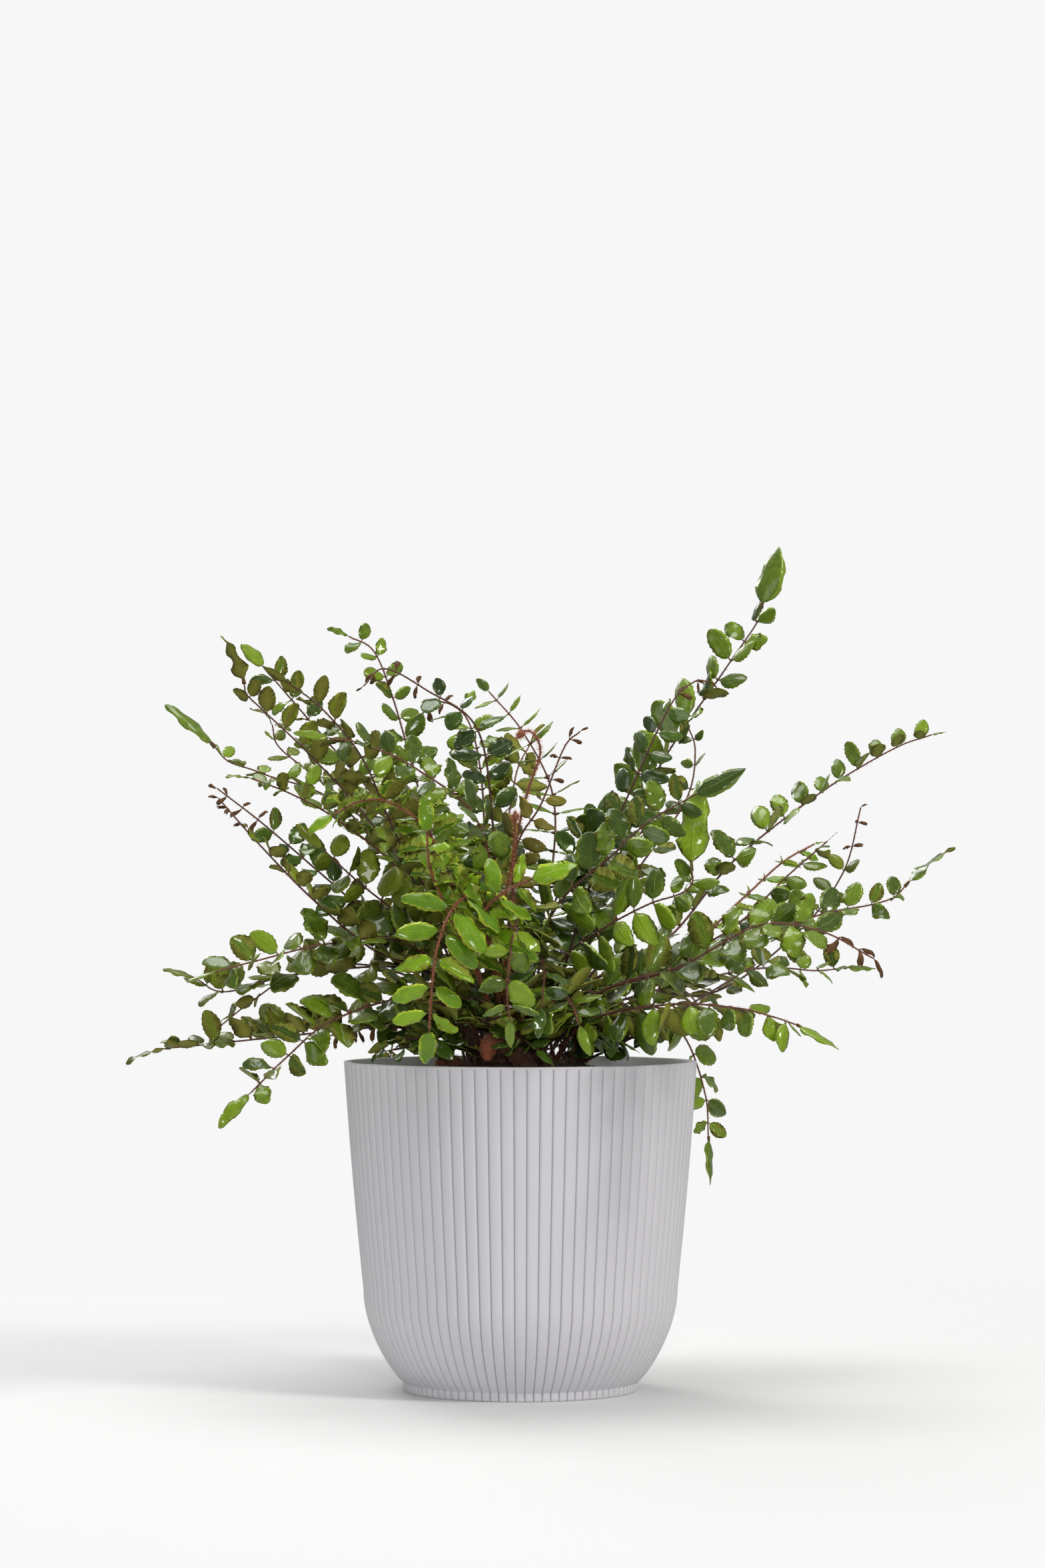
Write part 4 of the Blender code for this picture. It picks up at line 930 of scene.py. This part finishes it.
def leaf_mesh(name, *curves, teeth):
    """A thin closed leaflet on a short stalk, 1 long along +Y and 1 wide, its upper side to +Z."""
    across_of_ring = (-1.0, -0.6, 0.0, 0.6, 1.0, 0.0)
    turn_of_ring = (180, 135, 90, 45, 0, 270)
    sides = len(across_of_ring)
    surface = leaf_surface(*curves)
    points, along_of, across_of = [], [], []

    def put(point, along, across):
        points.append(point)
        along_of.append(along)
        across_of.append(across)
        return len(points) - 1

    rings = []
    for y, girth in zip((0.0, BLADE_START), STALK_GIRTHS):
        turns = [math.radians(turn) for turn in turn_of_ring]
        rings.append([put(Vector((girth * math.cos(turn), y, girth * math.sin(turn))), -0.1, 0.0)
                      for turn in turns])
    for row in range(LEAF_ROWS):
        along = mix(0.025, 0.965, row / (LEAF_ROWS - 1))
        tooth = 1 + teeth if row % 2 else 1 - teeth
        ring = []
        for number, across in enumerate(across_of_ring):
            rise = LEAF_THICKNESS / 2 * (1 - 0.6 * across**2) * (-1 if number == 5 else 1)
            if abs(across) == 1.0:
                rise = 0.0
            point = surface(along, across * tooth if abs(across) == 1.0 else across, rise)
            ring.append(put(point, along, across))
        rings.append(ring)
    tip = put(surface(0.999, 0.0, 0.0), 1.0, 0.0)
    faces, below = [], []
    for near, far in zip(rings, rings[1:]):
        for number in range(sides):
            after = (number + 1) % sides
            faces.append((near[number], far[number], far[after], near[after]))
            below.append(1.0 if number >= 4 else 0.0)
    for number in range(sides):
        faces.append((rings[-1][number], tip, rings[-1][(number + 1) % sides]))
        below.append(1.0 if number >= 4 else 0.0)
    faces.append(tuple(rings[0]))
    below.append(0.0)
    mesh = bpy.data.meshes.new(name)
    mesh.from_pydata(points, [], faces)
    mesh.shade_smooth()
    give_points(mesh, "along", "FLOAT", along_of)
    give_points(mesh, "across", "FLOAT", across_of)
    mesh.attributes.new("below", "FLOAT", "FACE").data.foreach_set("value", below)
    return mesh


def leaflet_tree():
    """Puts one of the shapes on every point, by the point's own run, upper, size and shape."""
    tree, graph, given = geometry_tree("leaflets_on_stem", {
        "Shapes": "NodeSocketCollection", "Finish": "NodeSocketMaterial"})
    aim = graph.add("FunctionNodeAxesToRotation", {"primary_axis": "Y", "secondary_axis": "Z"}, {
        "Primary Axis": graph.carried("run", "FLOAT_VECTOR"),
        "Secondary Axis": graph.carried("upper", "FLOAT_VECTOR")})
    leaflets = graph.placed(
        Points=given["Geometry"], Instance=graph.choices(given["Shapes"]), Pick_Instance=True,
        Instance_Index=graph.carried("shape", "INT"), Rotation=aim,
        Scale=graph.carried("size", "FLOAT_VECTOR"))
    finish_tree(graph, graph.coated(leaflets, given["Finish"]))
    return tree


def loosened(leaflet, chance, tame):
    """The leaflet turned a little on its stalk, as no two hang alike."""
    wide, out = leaflet.wide, leaflet.out
    turns = ((leaflet.run, 24), (out, 9), (wide, 12))
    turned = Matrix.Identity(3)
    for axis, spread in turns:
        angle = math.radians(chance.gauss(0, spread * tame))
        turned = Matrix.Rotation(angle, 3, axis) @ turned
    return leaflet._replace(
        run=(turned @ leaflet.run).normalized(), wide=(turned @ wide).normalized(),
        out=(turned @ out).normalized(), length=leaflet.length * chance.uniform(0.88, 1.12),
        width=leaflet.width * chance.uniform(0.82, 1.12))


def lay_leaflets(number, name, kind, found, old, kit):
    """One piece of all these leaflets. From the share called old on, they are withered."""
    chance = random.Random(1000 + number)
    order = list(LEAF_SHAPES)
    mesh = bpy.data.meshes.new("leaflet_points_" + name)
    mesh.from_pydata([leaflet.foot * MM for leaflet, _, _ in found], [], [])
    tame = 0.45 if kind in ("bright", "narrow") else 1.0
    found = [(loosened(leaflet, chance, tame if side else 0.3), side, share)
             for leaflet, side, share in found]
    shape, tone, withered, size = [], [], [], []
    mood = chance.uniform(-0.22, 0.22)
    for leaflet, side, share in found:
        gone = max(0.0, min(1.0, (share - old) * 5 + 0.5)) if share >= old else 0.0
        if gone > 0.4:
            form = "curled"
        elif side:
            form = chance.choice(KIND_SHAPES.get(kind, USUAL_SHAPES))
        else:
            form = {"wavy": "tip_wavy", "gloss": "tip"}.get(kind) or chance.choice(("tip", "tip_wavy"))
        shape.append(order.index(form))
        tone.append(min(1.0, max(0.0, 0.22 + mood + 0.35 * share + chance.uniform(-0.35, 0.50))))
        withered.append(max(gone, chance.choice((0.0, 0.0, 0.0, 0.12, 0.22)) * chance.random()))
        deep = chance.uniform(0.7, 1.25)
        long = leaflet.length * LEAF_LENGTHENING * MM * (0.72 if form == "curled" else 1.0)
        size += [leaflet.width * LEAF_WIDENING * MM, long, long * deep]
    give_points(mesh, "run", "FLOAT_VECTOR", [leaflet.run for leaflet, _, _ in found])
    give_points(mesh, "upper", "FLOAT_VECTOR", [leaflet.out for leaflet, _, _ in found])
    give_points(mesh, "size", "FLOAT_VECTOR", size)
    give_points(mesh, "shape", "INT", shape)
    give_points(mesh, "tone", "FLOAT", tone)
    give_points(mesh, "withered", "FLOAT", withered)
    slot = SLOTS.get(kind, USUAL_SLOT)
    piece = grown("leaflets_" + name, mesh, kit.leaves, {"Shapes": kit.shapes, "Finish": kit.skins[slot]})
    node = "frond_" + name
    settle(piece, slot, *([node] if node in frame["nodes"] else []))


# ---------------------------------------------------------------- stems


def bristle_mesh():
    """A flat pointed scale, 1 long along +Z."""
    mesh = bpy.data.meshes.new("bristle")
    mesh.from_pydata([(-0.09, -0.03, 0), (0.09, -0.03, 0), (0, 0.06, 0), (0.0, 0.04, 1.0)], [],
                     [(0, 2, 1), (0, 1, 3), (1, 2, 3), (2, 0, 3)])
    return mesh


def add_bristles(graph, given, surface):
    """Scales scattered over a surface, each leaning its own way."""
    points = graph.add("GeometryNodeDistributePointsOnFaces", None, {
        "Mesh": surface, "Density": given["Bristles per m2"], "Seed": given["Seed"]})
    scale = graph.add("GeometryNodeObjectInfo", None, {"Object": given["Bristle"]}, out="Geometry")
    lean = graph.random((-0.75, -0.75, -3.1), (0.75, 0.75, 3.1), 3)
    aim = graph.add("FunctionNodeRotateRotation", {"rotation_space": "LOCAL"}, {
        "Rotation": graph.more(points, "Rotation"), "Rotate By": graph.turned(lean)})
    size = graph.random(0.45, 1.25, 5) * given["Bristle length"]
    scales = graph.placed(Points=points, Instance=scale, Rotation=aim, Scale=size)
    return graph.coated(scales, given["Scales"])


def scaly_tree(name):
    """A tree with the inputs that bark under scales needs."""
    return geometry_tree(name, {
        "Bark": "NodeSocketMaterial", "Bristle": "NodeSocketObject", "Bristle length": "NodeSocketFloat",
        "Bristles per m2": "NodeSocketFloat", "Seed": "NodeSocketInt", "Scales": "NodeSocketMaterial"})


def finish_scaly(graph, given, surface):
    """The surface in bark, and the scales over it."""
    bark = graph.coated(surface, given["Bark"])
    scales = add_bristles(graph, given, surface)
    finish_tree(graph, graph.add("GeometryNodeJoinGeometry", None, {"Geometry": [scales, bark]}))


def stem_tree():
    """A round tube along the points, as thick as each point says, with scales all over it."""
    tree, graph, given = scaly_tree("stem_with_scales")
    line = graph.add("GeometryNodeMeshToCurve", None, {"Mesh": given["Geometry"]})
    section = graph.add("GeometryNodeCurvePrimitiveCircle", None, {"Resolution": 7, "Radius": 1.0})
    tube = graph.add("GeometryNodeCurveToMesh", None, {
        "Curve": line, "Profile Curve": section, "Scale": graph.carried("thick", "FLOAT"),
        "Fill Caps": True})
    finish_scaly(graph, given, tube)
    return tree


BRISTLE_DENSITY = {"bright": 2.2e6, "young": 3.2e6, "green": 1.1e6, "dry": 1.2e6, "bare": 0.7e6}
USUAL_BRISTLE_DENSITY = 0.8e6
YOUTH = {"bright": 0.75, "young": 1.0, "green": 0.3, "narrow": 0.35, "wavy": 0.2, "dry": 0.25}
USUAL_YOUTH = 0.1


class Tubes:
    """Courses in mm, gathered to become one piece of round tubes."""

    def __init__(self):
        self.points, self.edges, self.thick, self.youth = [], [], [], []

    def lay(self, course, radii, youths):
        start = len(self.points)
        self.points += [point * MM for point in course]
        self.edges += [(start + i, start + i + 1) for i in range(len(course) - 1)]
        self.thick += [radius * MM for radius in radii]
        self.youth += youths

    def piece(self, name, seed, kind, kit, bark):
        """The tubes with their scales."""
        mesh = bpy.data.meshes.new("points_" + name)
        mesh.from_pydata(self.points, self.edges, [])
        give_points(mesh, "thick", "FLOAT", self.thick)
        give_points(mesh, "youth", "FLOAT", self.youth)
        made = grown(name, mesh, kit.stems, {
            "Bark": bark, "Scales": kit.scales, "Bristle": kit.bristle, "Seed": seed,
            "Bristle length": BRISTLE_LENGTH * MM * (1.6 if kind == "young" else 1.0),
            "Bristles per m2": BRISTLE_DENSITY.get(kind, USUAL_BRISTLE_DENSITY)})
        made.data.shade_smooth()
        return made


def make_stem(number, name, frond, stem, kit):
    """The tube of a frond's stem, a little uneven in thickness along its length."""
    count = len(stem.course)
    radii, youths = [], []
    fresh = YOUTH.get(frond.kind, USUAL_YOUTH)
    for i in range(count):
        share = i / (count - 1)
        radius = mix(STEM_RADIUS, STEM_TIP_RADIUS, share) * STEM_THICKNESS
        if frond.kind in ("bright", "young"):
            radius *= 1.25
        radius *= 1 + 0.06 * noise.noise(Vector((i * 0.35, number, 0.0)))
        if frond.kind == "young":
            bud = ((1 - share) * stem.length / BUD_RADIUS - 1.6) / 1.2
            radius = max(radius, BUD_RADIUS * math.exp(-bud**2))
        radii.append(radius)
        youths.append(min(1.0, fresh + 0.35 * share**2))
    tube = Tubes()
    tube.lay(stem.course, radii, youths)
    settle(tube.piece("stem_" + name, number, frond.kind, kit, kit.bark), "stem_scaly", "frond_" + name)


# ---------------------------------------------------------------- short fronds round the crown


def inner_fronds():
    """Short fronds low round the crown, under the tall ones: they fill the pot's mouth with leaf."""
    chance = random.Random(77)
    made = []
    for number in range(INNER_FRONDS):
        turn = 2 * math.pi * (number + 0.6 * chance.random()) / INNER_FRONDS
        reach = chance.uniform(36, 64)
        top = chance.uniform(8, 30)
        sag = chance.uniform(-8, 4)
        heights = (0.45 * top, 0.85 * top, top + 0.3 * sag, top + sag)
        via = []
        for share, height in zip((0.35, 0.65, 0.85, 1.0), heights):
            bend = turn + 0.5 * (share - 0.4) * chance.uniform(-1, 1)
            via.append((share * reach * math.cos(bend), share * reach * math.sin(bend), height))
        kind = chance.choice(("dark", "dark", "green", "olive"))
        made.append(Frond(chance.choice((1, 2, 3)), 5, chance.uniform(9.0, 11.5), 8.0, 0.40,
                          5, 0.5, (0.0, -0.4, 1.0), kind, via))
    return made


def make_inner_fronds(ground, kit):
    """The short fronds: a piece of leaflets for each kind, and one of all their stems."""
    found, tubes = {}, Tubes()
    for number, frond in enumerate(inner_fronds()):
        stem = Stem(frond, (0, 0), ground)
        chance = random.Random(900 + number)
        for side, distance, share in leaf_spots(frond, stem, 0.0):
            leaflet = place_leaflet(frond, stem, distance, side, share, drawn(chance), LEAF_TRIES[0])
            found.setdefault(frond.kind, []).append((leaflet, side, share))
        count = len(stem.course)
        tubes.lay(stem.course, [0.45] * count, [0.15] * count)
    for number, (kind, leaflets) in enumerate(found.items()):
        lay_leaflets(300 + number, "inner_" + kind, kind, leaflets, NEVER_OLD, kit)
    settle(tubes.piece("stems_inner", 99, "dark", kit, kit.bark), "stem_scaly")


# ---------------------------------------------------------------- pot


def bowl_point(share):
    """A point on the bowl's curve, a cubic that leaves the foot flaring out and ends upright."""
    across, up = BELLY_RADIUS - FOOT_RADIUS, BELLY_HEIGHT - FOOT_HEIGHT
    handles = ((0.0, 0.0), *BOWL_HANDLES, (1.0, 1.0))
    weights = ((1 - share) ** 3, 3 * share * (1 - share) ** 2, 3 * share**2 * (1 - share), share**3)
    out = sum(weight * handle[0] for weight, handle in zip(weights, handles))
    rise = sum(weight * handle[1] for weight, handle in zip(weights, handles))
    return FOOT_RADIUS + across * out, FOOT_HEIGHT + up * rise


def wall_point(share):
    """A point on the wall over the belly."""
    bow = WALL_BOW * (RIM_RADIUS - BELLY_RADIUS) * math.sin(math.pi * share)
    return mix(BELLY_RADIUS, RIM_RADIUS, share) + bow, mix(BELLY_HEIGHT, POT_HEIGHT, share)


def rib_rows():
    """The pot's section from under its floor, up the outside, over the lip and down inside.

    Each row is a radius, a height and how deep the grooves between the ribs are there, from 0 to 1.
    """
    foot = [(FOOT_RADIUS - 4.0, FOOT_HOLLOW, 0.0), (FOOT_RADIUS - 3.2, 0.0, 0.0),
            (FOOT_RADIUS - 0.7, 0.0, 1.0), (FOOT_RADIUS - 0.25, 0.3, 1.0), (FOOT_RADIUS, 1.0, 1.0)]
    bowl = [(*bowl_point(step / 14), 1.0) for step in range(15)]
    groove_end = 1 - (LIP_HEIGHT + 0.5) / (POT_HEIGHT - BELLY_HEIGHT)
    wall = [(*wall_point(groove_end * step / 9), 1.0) for step in range(1, 10)]
    lip_radius = RIM_RADIUS + 0.1
    inner_radius = RIM_RADIUS - POT_WALL
    lip_foot = POT_HEIGHT - LIP_HEIGHT
    lip = [(lip_radius - 0.12, lip_foot, 0.0), (lip_radius, lip_foot + 0.12, 0.0),
           (lip_radius, POT_HEIGHT - 0.3, 0.0), (lip_radius - 0.3, POT_HEIGHT, 0.0),
           (inner_radius + 0.4, POT_HEIGHT, 0.0), (inner_radius, POT_HEIGHT - 0.4, 0.0)]
    inside = [(radius - POT_WALL, height, 0.0)
              for radius, height in [wall_point(share) for share in (0.8, 0.55, 0.3, 0.0)]
              + [bowl_point(share) for share in (0.85, 0.7, 0.55, 0.42, 0.3, 0.2, 0.1)]]
    floor_radius = inside[-1][0] - 1.8
    floor = [(floor_radius, POT_FLOOR + 0.5, 0.0), (floor_radius - 1.4, POT_FLOOR, 0.0)]
    return foot + bowl + wall + lip + inside + floor


def rib_slice():
    """One rib of the pot with its share of lip, inner wall and floor, still open at both sides."""
    grooves = ((0.0, 1.0), (0.03, 0.55), (0.085, 0.22), (0.22, 0.06), (0.5, 0.0), (0.78, 0.06),
               (0.915, 0.22), (0.97, 0.55), (1.0, 1.0))
    step = 2 * math.pi / RIB_COUNT
    bm = bmesh.new()
    rows = []
    for radius, height, deep in rib_rows():
        row = []
        for place, groove in grooves:
            reach = radius - RIB_DEPTH * deep * groove
            turn = step * place
            row.append(bm.verts.new((reach * math.cos(turn), reach * math.sin(turn), height)))
        rows.append(row)
    for low, high in zip(rows, rows[1:]):
        for side in range(len(grooves) - 1):
            bm.faces.new((low[side], low[side + 1], high[side + 1], high[side]))
    for row, height in ((rows[0], FOOT_HOLLOW), (rows[-1], POT_FLOOR)):
        pole = bm.verts.new((0.0, 0.0, height))
        for side in range(len(grooves) - 1):
            corners = (row[side], row[side + 1], pole)
            bm.faces.new(corners if height == POT_FLOOR else corners[::-1])
    mesh = meshed("rib_slice", bm, MM)
    # The inner wall's faces above INSIDE_FROM, which the pot's finish paints paler as painted light.
    inside = [face.normal.xy.dot(face.center.xy.normalized()) < -0.2 and face.center.z > INSIDE_FROM * MM
              for face in mesh.polygons]
    mesh.attributes.new("inside", "FLOAT", "FACE").data.foreach_set("value", [float(yes) for yes in inside])
    return mesh


def ring_tree():
    """Repeats a slice round the axis and sews the slices together."""
    tree, graph, given = geometry_tree("ring_of_slices", {
        "Count": "NodeSocketInt", "Slice": "NodeSocketObject", "Sew within": "NodeSocketFloat",
        "Finish": "NodeSocketMaterial"})
    line = graph.add("GeometryNodeMeshLine", {"mode": "OFFSET"}, {
        "Count": given["Count"], "Offset": (0.0, 0.0, 0.0)})
    one = graph.add("GeometryNodeObjectInfo", None, {"Object": given["Slice"]}, out="Geometry")
    turn = graph.add("GeometryNodeInputIndex") * 2 * math.pi / given["Count"]
    aim = graph.turned(graph.add("ShaderNodeCombineXYZ", None, {"Z": turn}))
    slices = graph.placed(Points=line, Instance=one, Rotation=aim)
    sewn = graph.add("GeometryNodeMergeByDistance", None, {
        "Geometry": slices, "Distance": given["Sew within"]})
    finish_tree(graph, graph.coated(sewn, given["Finish"]))
    return tree


def make_cover_pot():
    slice_object = held("rib_holder", [rib_slice()]).objects[0]
    pot = grown("cover_pot_ribbed", bpy.data.meshes.new("pot_seed"), ring_tree(), {
        "Count": RIB_COUNT, "Slice": slice_object, "Sew within": 0.01 * MM, "Finish": pot_finish()})
    bm = bmesh.new()
    bm.from_mesh(pot.data)
    bmesh.ops.recalc_face_normals(bm, faces=bm.faces)
    bm.to_mesh(pot.data)
    bm.free()
    pot.data.shade_smooth()
    pot.data.set_sharp_from_angle(angle=math.radians(42))
    settle(pot, "pot_plastic", "cover_pot")
    bpy.data.objects.remove(slice_object)


# ---------------------------------------------------------------- soil and rhizome


def search_tree(*nodes):
    """A search tree of the part's solids, in mm."""
    points, faces = [], []
    for node in nodes:
        mesh = frame["nodes"][node].data
        faces += [tuple(len(points) + v for v in face.vertices) for face in mesh.polygons]
        points += [vertex.co / MM for vertex in mesh.vertices]
    return BVHTree.FromPolygons(points, faces)


def polar_mesh(name, tree, reach, rings, sides, rough, heap, base, base_reach):
    """A closed body whose top follows a solid's, roughened and heaped up, down to a flat base."""
    bm = bmesh.new()

    def solid_height(x, y):
        hit = tree.ray_cast(Vector((x, y, 2 * POT_HEIGHT)), Vector((0, 0, -1)))[0]
        return hit.z if hit else base

    def top_height(x, y):
        broad, fine = noise.noise(Vector((x, y, 0)) * 0.12), noise.noise(Vector((x, y, 9)) * 0.45)
        heaped = heap * max(0.0, 1 - (x * x + y * y) / SOIL_HEAP_REACH**2)
        return solid_height(x, y) + rough * (broad * 1.2 + fine * 0.7) + heaped

    turns = [2 * math.pi * side / sides for side in range(sides)]
    rows = []
    for ring in range(1, rings + 1):
        radius = reach * ring / rings
        fade = min(1.0, (rings - ring) / 2)
        inner = 0.995 if ring == rings else 1.0
        row = []
        for turn in turns:
            x, y = radius * math.cos(turn), radius * math.sin(turn)
            height = mix(solid_height(inner * x, inner * y), top_height(inner * x, inner * y), fade)
            row.append(bm.verts.new((x, y, height)))
        rows.append(row)
    middle = bm.verts.new((0, 0, top_height(0, 0)))
    foot = [bm.verts.new((base_reach * math.cos(turn), base_reach * math.sin(turn), base))
            for turn in turns]
    under = bm.verts.new((0, 0, base))
    for side in range(sides):
        after = (side + 1) % sides
        bm.faces.new((middle, rows[0][side], rows[0][after]))
        for inner, outer in zip(rows, rows[1:]):
            bm.faces.new((inner[side], outer[side], outer[after], inner[after]))
        bm.faces.new((rows[-1][side], foot[side], foot[after], rows[-1][after]))
        bm.faces.new((foot[side], under, foot[after]))
    bmesh.ops.recalc_face_normals(bm, faces=bm.faces)
    return meshed(name, bm, MM)


def crumb_mesh(name, seed):
    """A rough crumb, about 1 across."""
    bm = bmesh.new()
    bmesh.ops.create_icosphere(bm, subdivisions=1, radius=0.5)
    for vertex in bm.verts:
        vertex.co *= 1 + 0.5 * noise.noise(vertex.co * 2.3 + Vector((seed, 0, 0)))
    bmesh.ops.recalc_face_normals(bm, faces=bm.faces)
    return meshed(name, bm)


def soil_tree():
    """The soil ball with loose crumbs on its top."""
    tree, graph, given = geometry_tree("crumbly_soil", {
        "Crumbs": "NodeSocketCollection", "Crumbs per m2": "NodeSocketFloat",
        "Crumb size": "NodeSocketFloat", "Seed": "NodeSocketInt", "Finish": "NodeSocketMaterial"})
    normal = graph.add("GeometryNodeInputNormal")
    height = graph.add("ShaderNodeSeparateXYZ", None, {"Vector": normal}, out="Z")
    upward = graph.add("FunctionNodeCompare", {"data_type": "FLOAT", "operation": "GREATER_THAN"}, {
        0: height, 1: 0.4})
    points = graph.add("GeometryNodeDistributePointsOnFaces", None, {
        "Mesh": given["Geometry"], "Selection": upward, "Density": given["Crumbs per m2"],
        "Seed": given["Seed"]})
    aim = graph.turned(graph.random((-3.1, -3.1, -3.1), (3.1, 3.1, 3.1), 1))
    size = graph.random(0.25, 1.0, 2) ** 1.6 * given["Crumb size"]
    crumbs = graph.placed(Points=points, Instance=graph.choices(given["Crumbs"]), Pick_Instance=True,
                          Rotation=aim, Scale=size)
    joined = graph.add("GeometryNodeJoinGeometry", None, {"Geometry": [crumbs, given["Geometry"]]})
    finish_tree(graph, graph.coated(joined, given["Finish"]))
    return tree


def make_soil():
    low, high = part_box("soil")
    reach = high.x / MM * math.cos(math.pi / GROUND_SIDES)
    corners = [vertex.co for vertex in frame["nodes"]["soil"].data.vertices]
    foot = max(corner.xy.length for corner in corners if corner.z < low.z + MM)
    body = polar_mesh("soil_body", search_tree("soil"), reach, 30, 120, 0.9, SOIL_HEAP,
                      low.z / MM, foot / MM)
    crumbs = held("crumbs", [crumb_mesh(f"crumb_{seed}", seed) for seed in range(3)])
    soil = grown("soil_crumbs", body, soil_tree(), {
        "Crumbs": crumbs, "Crumbs per m2": 3.2e5, "Crumb size": CRUMB_SIZE * MM, "Seed": 4,
        "Finish": soil_finish("potting_soil", (0.010, 0.006, 0.004), (0.075, 0.045, 0.028))})
    settle(soil, "soil", "soil")


def rhizome_tree():
    """The rhizome under a coat of scales."""
    tree, graph, given = scaly_tree("fuzzy_rhizome")
    finish_scaly(graph, given, given["Geometry"])
    return tree


# Creeping tips of the rhizome over the soil: points along each, thickness, and how fresh its end is.
RHIZOME_TIPS = (
    ([(4, -30, 127), (-2, -34, 134), (-8, -37, 139), (-12, -39, 138), (-13, -40, 132)], 3.0, 1.0),
    ([(14, -20, 126), (8, -25, 132), (3, -27, 132), (1, -27, 127)], 2.4, 0.10),
    ([(-20, -14, 126), (-27, -20, 131), (-33, -22, 130)], 2.0, 0.5),
    ([(16, 18, 126), (24, 26, 132), (26, 32, 129)], 2.4, 0.8),
)


def make_rhizome(kit):
    low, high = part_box("rhizome")
    reach = high.x / MM * math.cos(math.pi / GROUND_SIDES)
    body = polar_mesh("rhizome_body", search_tree("rhizome"), reach, 18, 96, 1.3, 0.0, low.z / MM, reach)
    fresh = Vector(FRESH_KNOB) * MM
    give_points(body, "youth", "FLOAT", [
        max(0.0, 1.0 - ((v.co - fresh) / MM).length / KNOB_REACH) + 0.2 * noise.noise(v.co * 90)
        for v in body.vertices])
    skin = rhizome_finish()
    piece = grown("rhizome_fuzzy", body, rhizome_tree(), {
        "Bark": skin, "Scales": kit.scales, "Bristle": kit.bristle, "Seed": 7,
        "Bristle length": FUZZ_LENGTH * MM, "Bristles per m2": FUZZ_DENSITY})
    settle(piece, "rhizome", "rhizome")
    tips = Tubes()
    for via, radius, fresh in RHIZOME_TIPS:
        course = smooth_course([Vector(point) for point in via], 1.0)
        shares = [i / (len(course) - 1) for i in range(len(course))]
        taper = [0.35 + 0.65 * math.sin(math.pi * min(0.5, 3 * (1 - share))) for share in shares]
        tips.lay(course, [radius * part for part in taper], [fresh * share**2 for share in shares])
    settle(tips.piece("rhizome_tips", 98, "young", kit, skin), "rhizome")


# ---------------------------------------------------------------- stage


def make_floor():
    """A pale floor that fades out into the white of the room."""
    bm = bmesh.new()
    bmesh.ops.create_circle(bm, cap_ends=True, cap_tris=False, segments=96, radius=FLOOR_RADIUS)
    mesh = meshed("floor", bm)
    mesh.materials.append(floor_finish())
    linked("floor", mesh)


# Each soft light's place, the height it aims at, its size, watts and colour.
LIGHTS = {
    "window_right": ((1.35, -0.95, 1.35), 0.15, 0.5, 20.0, (1.0, 0.985, 0.96)),
    "top_soft": ((-0.25, 0.25, 1.9), 0.15, 1.3, 22.0, (1.0, 1.0, 1.0)),
    "front": ((0.15, -1.95, 0.36), 0.15, 0.45, 11.0, (1.0, 1.0, 1.0)),
    "back_high": ((-0.8, 1.7, 1.3), 0.15, 0.9, 12.0, (1.0, 1.0, 1.0)),
    "fill_left": ((-1.6, -1.2, 0.7), 0.12, 1.2, 6.0, (0.97, 0.985, 1.0)),
}


def make_lights():
    """A white room, dimmer as a light than as it looks, and the soft lights."""
    bpy.context.scene.view_settings.view_transform = "Standard"
    world = bpy.data.worlds.new("studio")
    bpy.context.scene.world = world
    world.use_nodes = True
    graph = Graph(world.node_tree)
    seen = graph.add("ShaderNodeLightPath", out="Is Camera Ray")
    room = world.node_tree.nodes["Background"]
    room.inputs["Color"].default_value = (0.93, 0.93, 0.93, 1.0)
    world.node_tree.links.new((seen * (1 - ROOM_LIGHT) + ROOM_LIGHT).socket, room.inputs["Strength"])
    for name, (place, aim, size, power, colour) in LIGHTS.items():
        light = bpy.data.lights.new(name, "AREA")
        light.shape = "DISK"
        light.size = size
        light.energy = power
        light.color = colour
        made = linked(name, light)
        made.visible_camera = False
        made.location = place
        towards = Vector((0.0, 0.0, aim)) - Vector(place)
        made.rotation_euler = towards.to_track_quat("-Z", "Y").to_euler()


def make_camera():
    camera = bpy.data.cameras.new("camera")
    camera.sensor_width = 36.0
    camera.lens = 101.0
    camera.clip_start = 0.05
    camera.clip_end = 30.0
    made = linked("camera", camera)
    made.location = (0.0008, -1.750, 0.190)
    made.rotation_euler = (math.radians(90 + 1.64), 0.0, 0.0)
    bpy.context.scene.camera = made


# ---------------------------------------------------------------- all of it


def main():
    make_camera()
    make_lights()
    make_floor()
    make_cover_pot()
    frame["nodes"]["nursery_pot"].material_slots[0].material = nursery_finish()
    make_soil()
    kit = make_kit()
    make_rhizome(kit)
    ground = search_tree("soil", "rhizome")
    for number, (name, frond) in enumerate(FRONDS.items()):
        stem, corners = find_stem(name, frond, ground)
        make_stem(number, name, frond, stem, kit)
        if frond.pairs:
            found = find_leaflets(number, name, frond, stem, corners)
            found += lower_leaflets(number, name, frond, stem)
            lay_leaflets(number, name, frond.kind, found, WITHERED_FROM.get(name, NEVER_OLD), kit)
    make_inner_fronds(ground, kit)
    for shape in [*kit.shapes.objects, kit.bristle]:
        bpy.data.objects.remove(shape)


main()
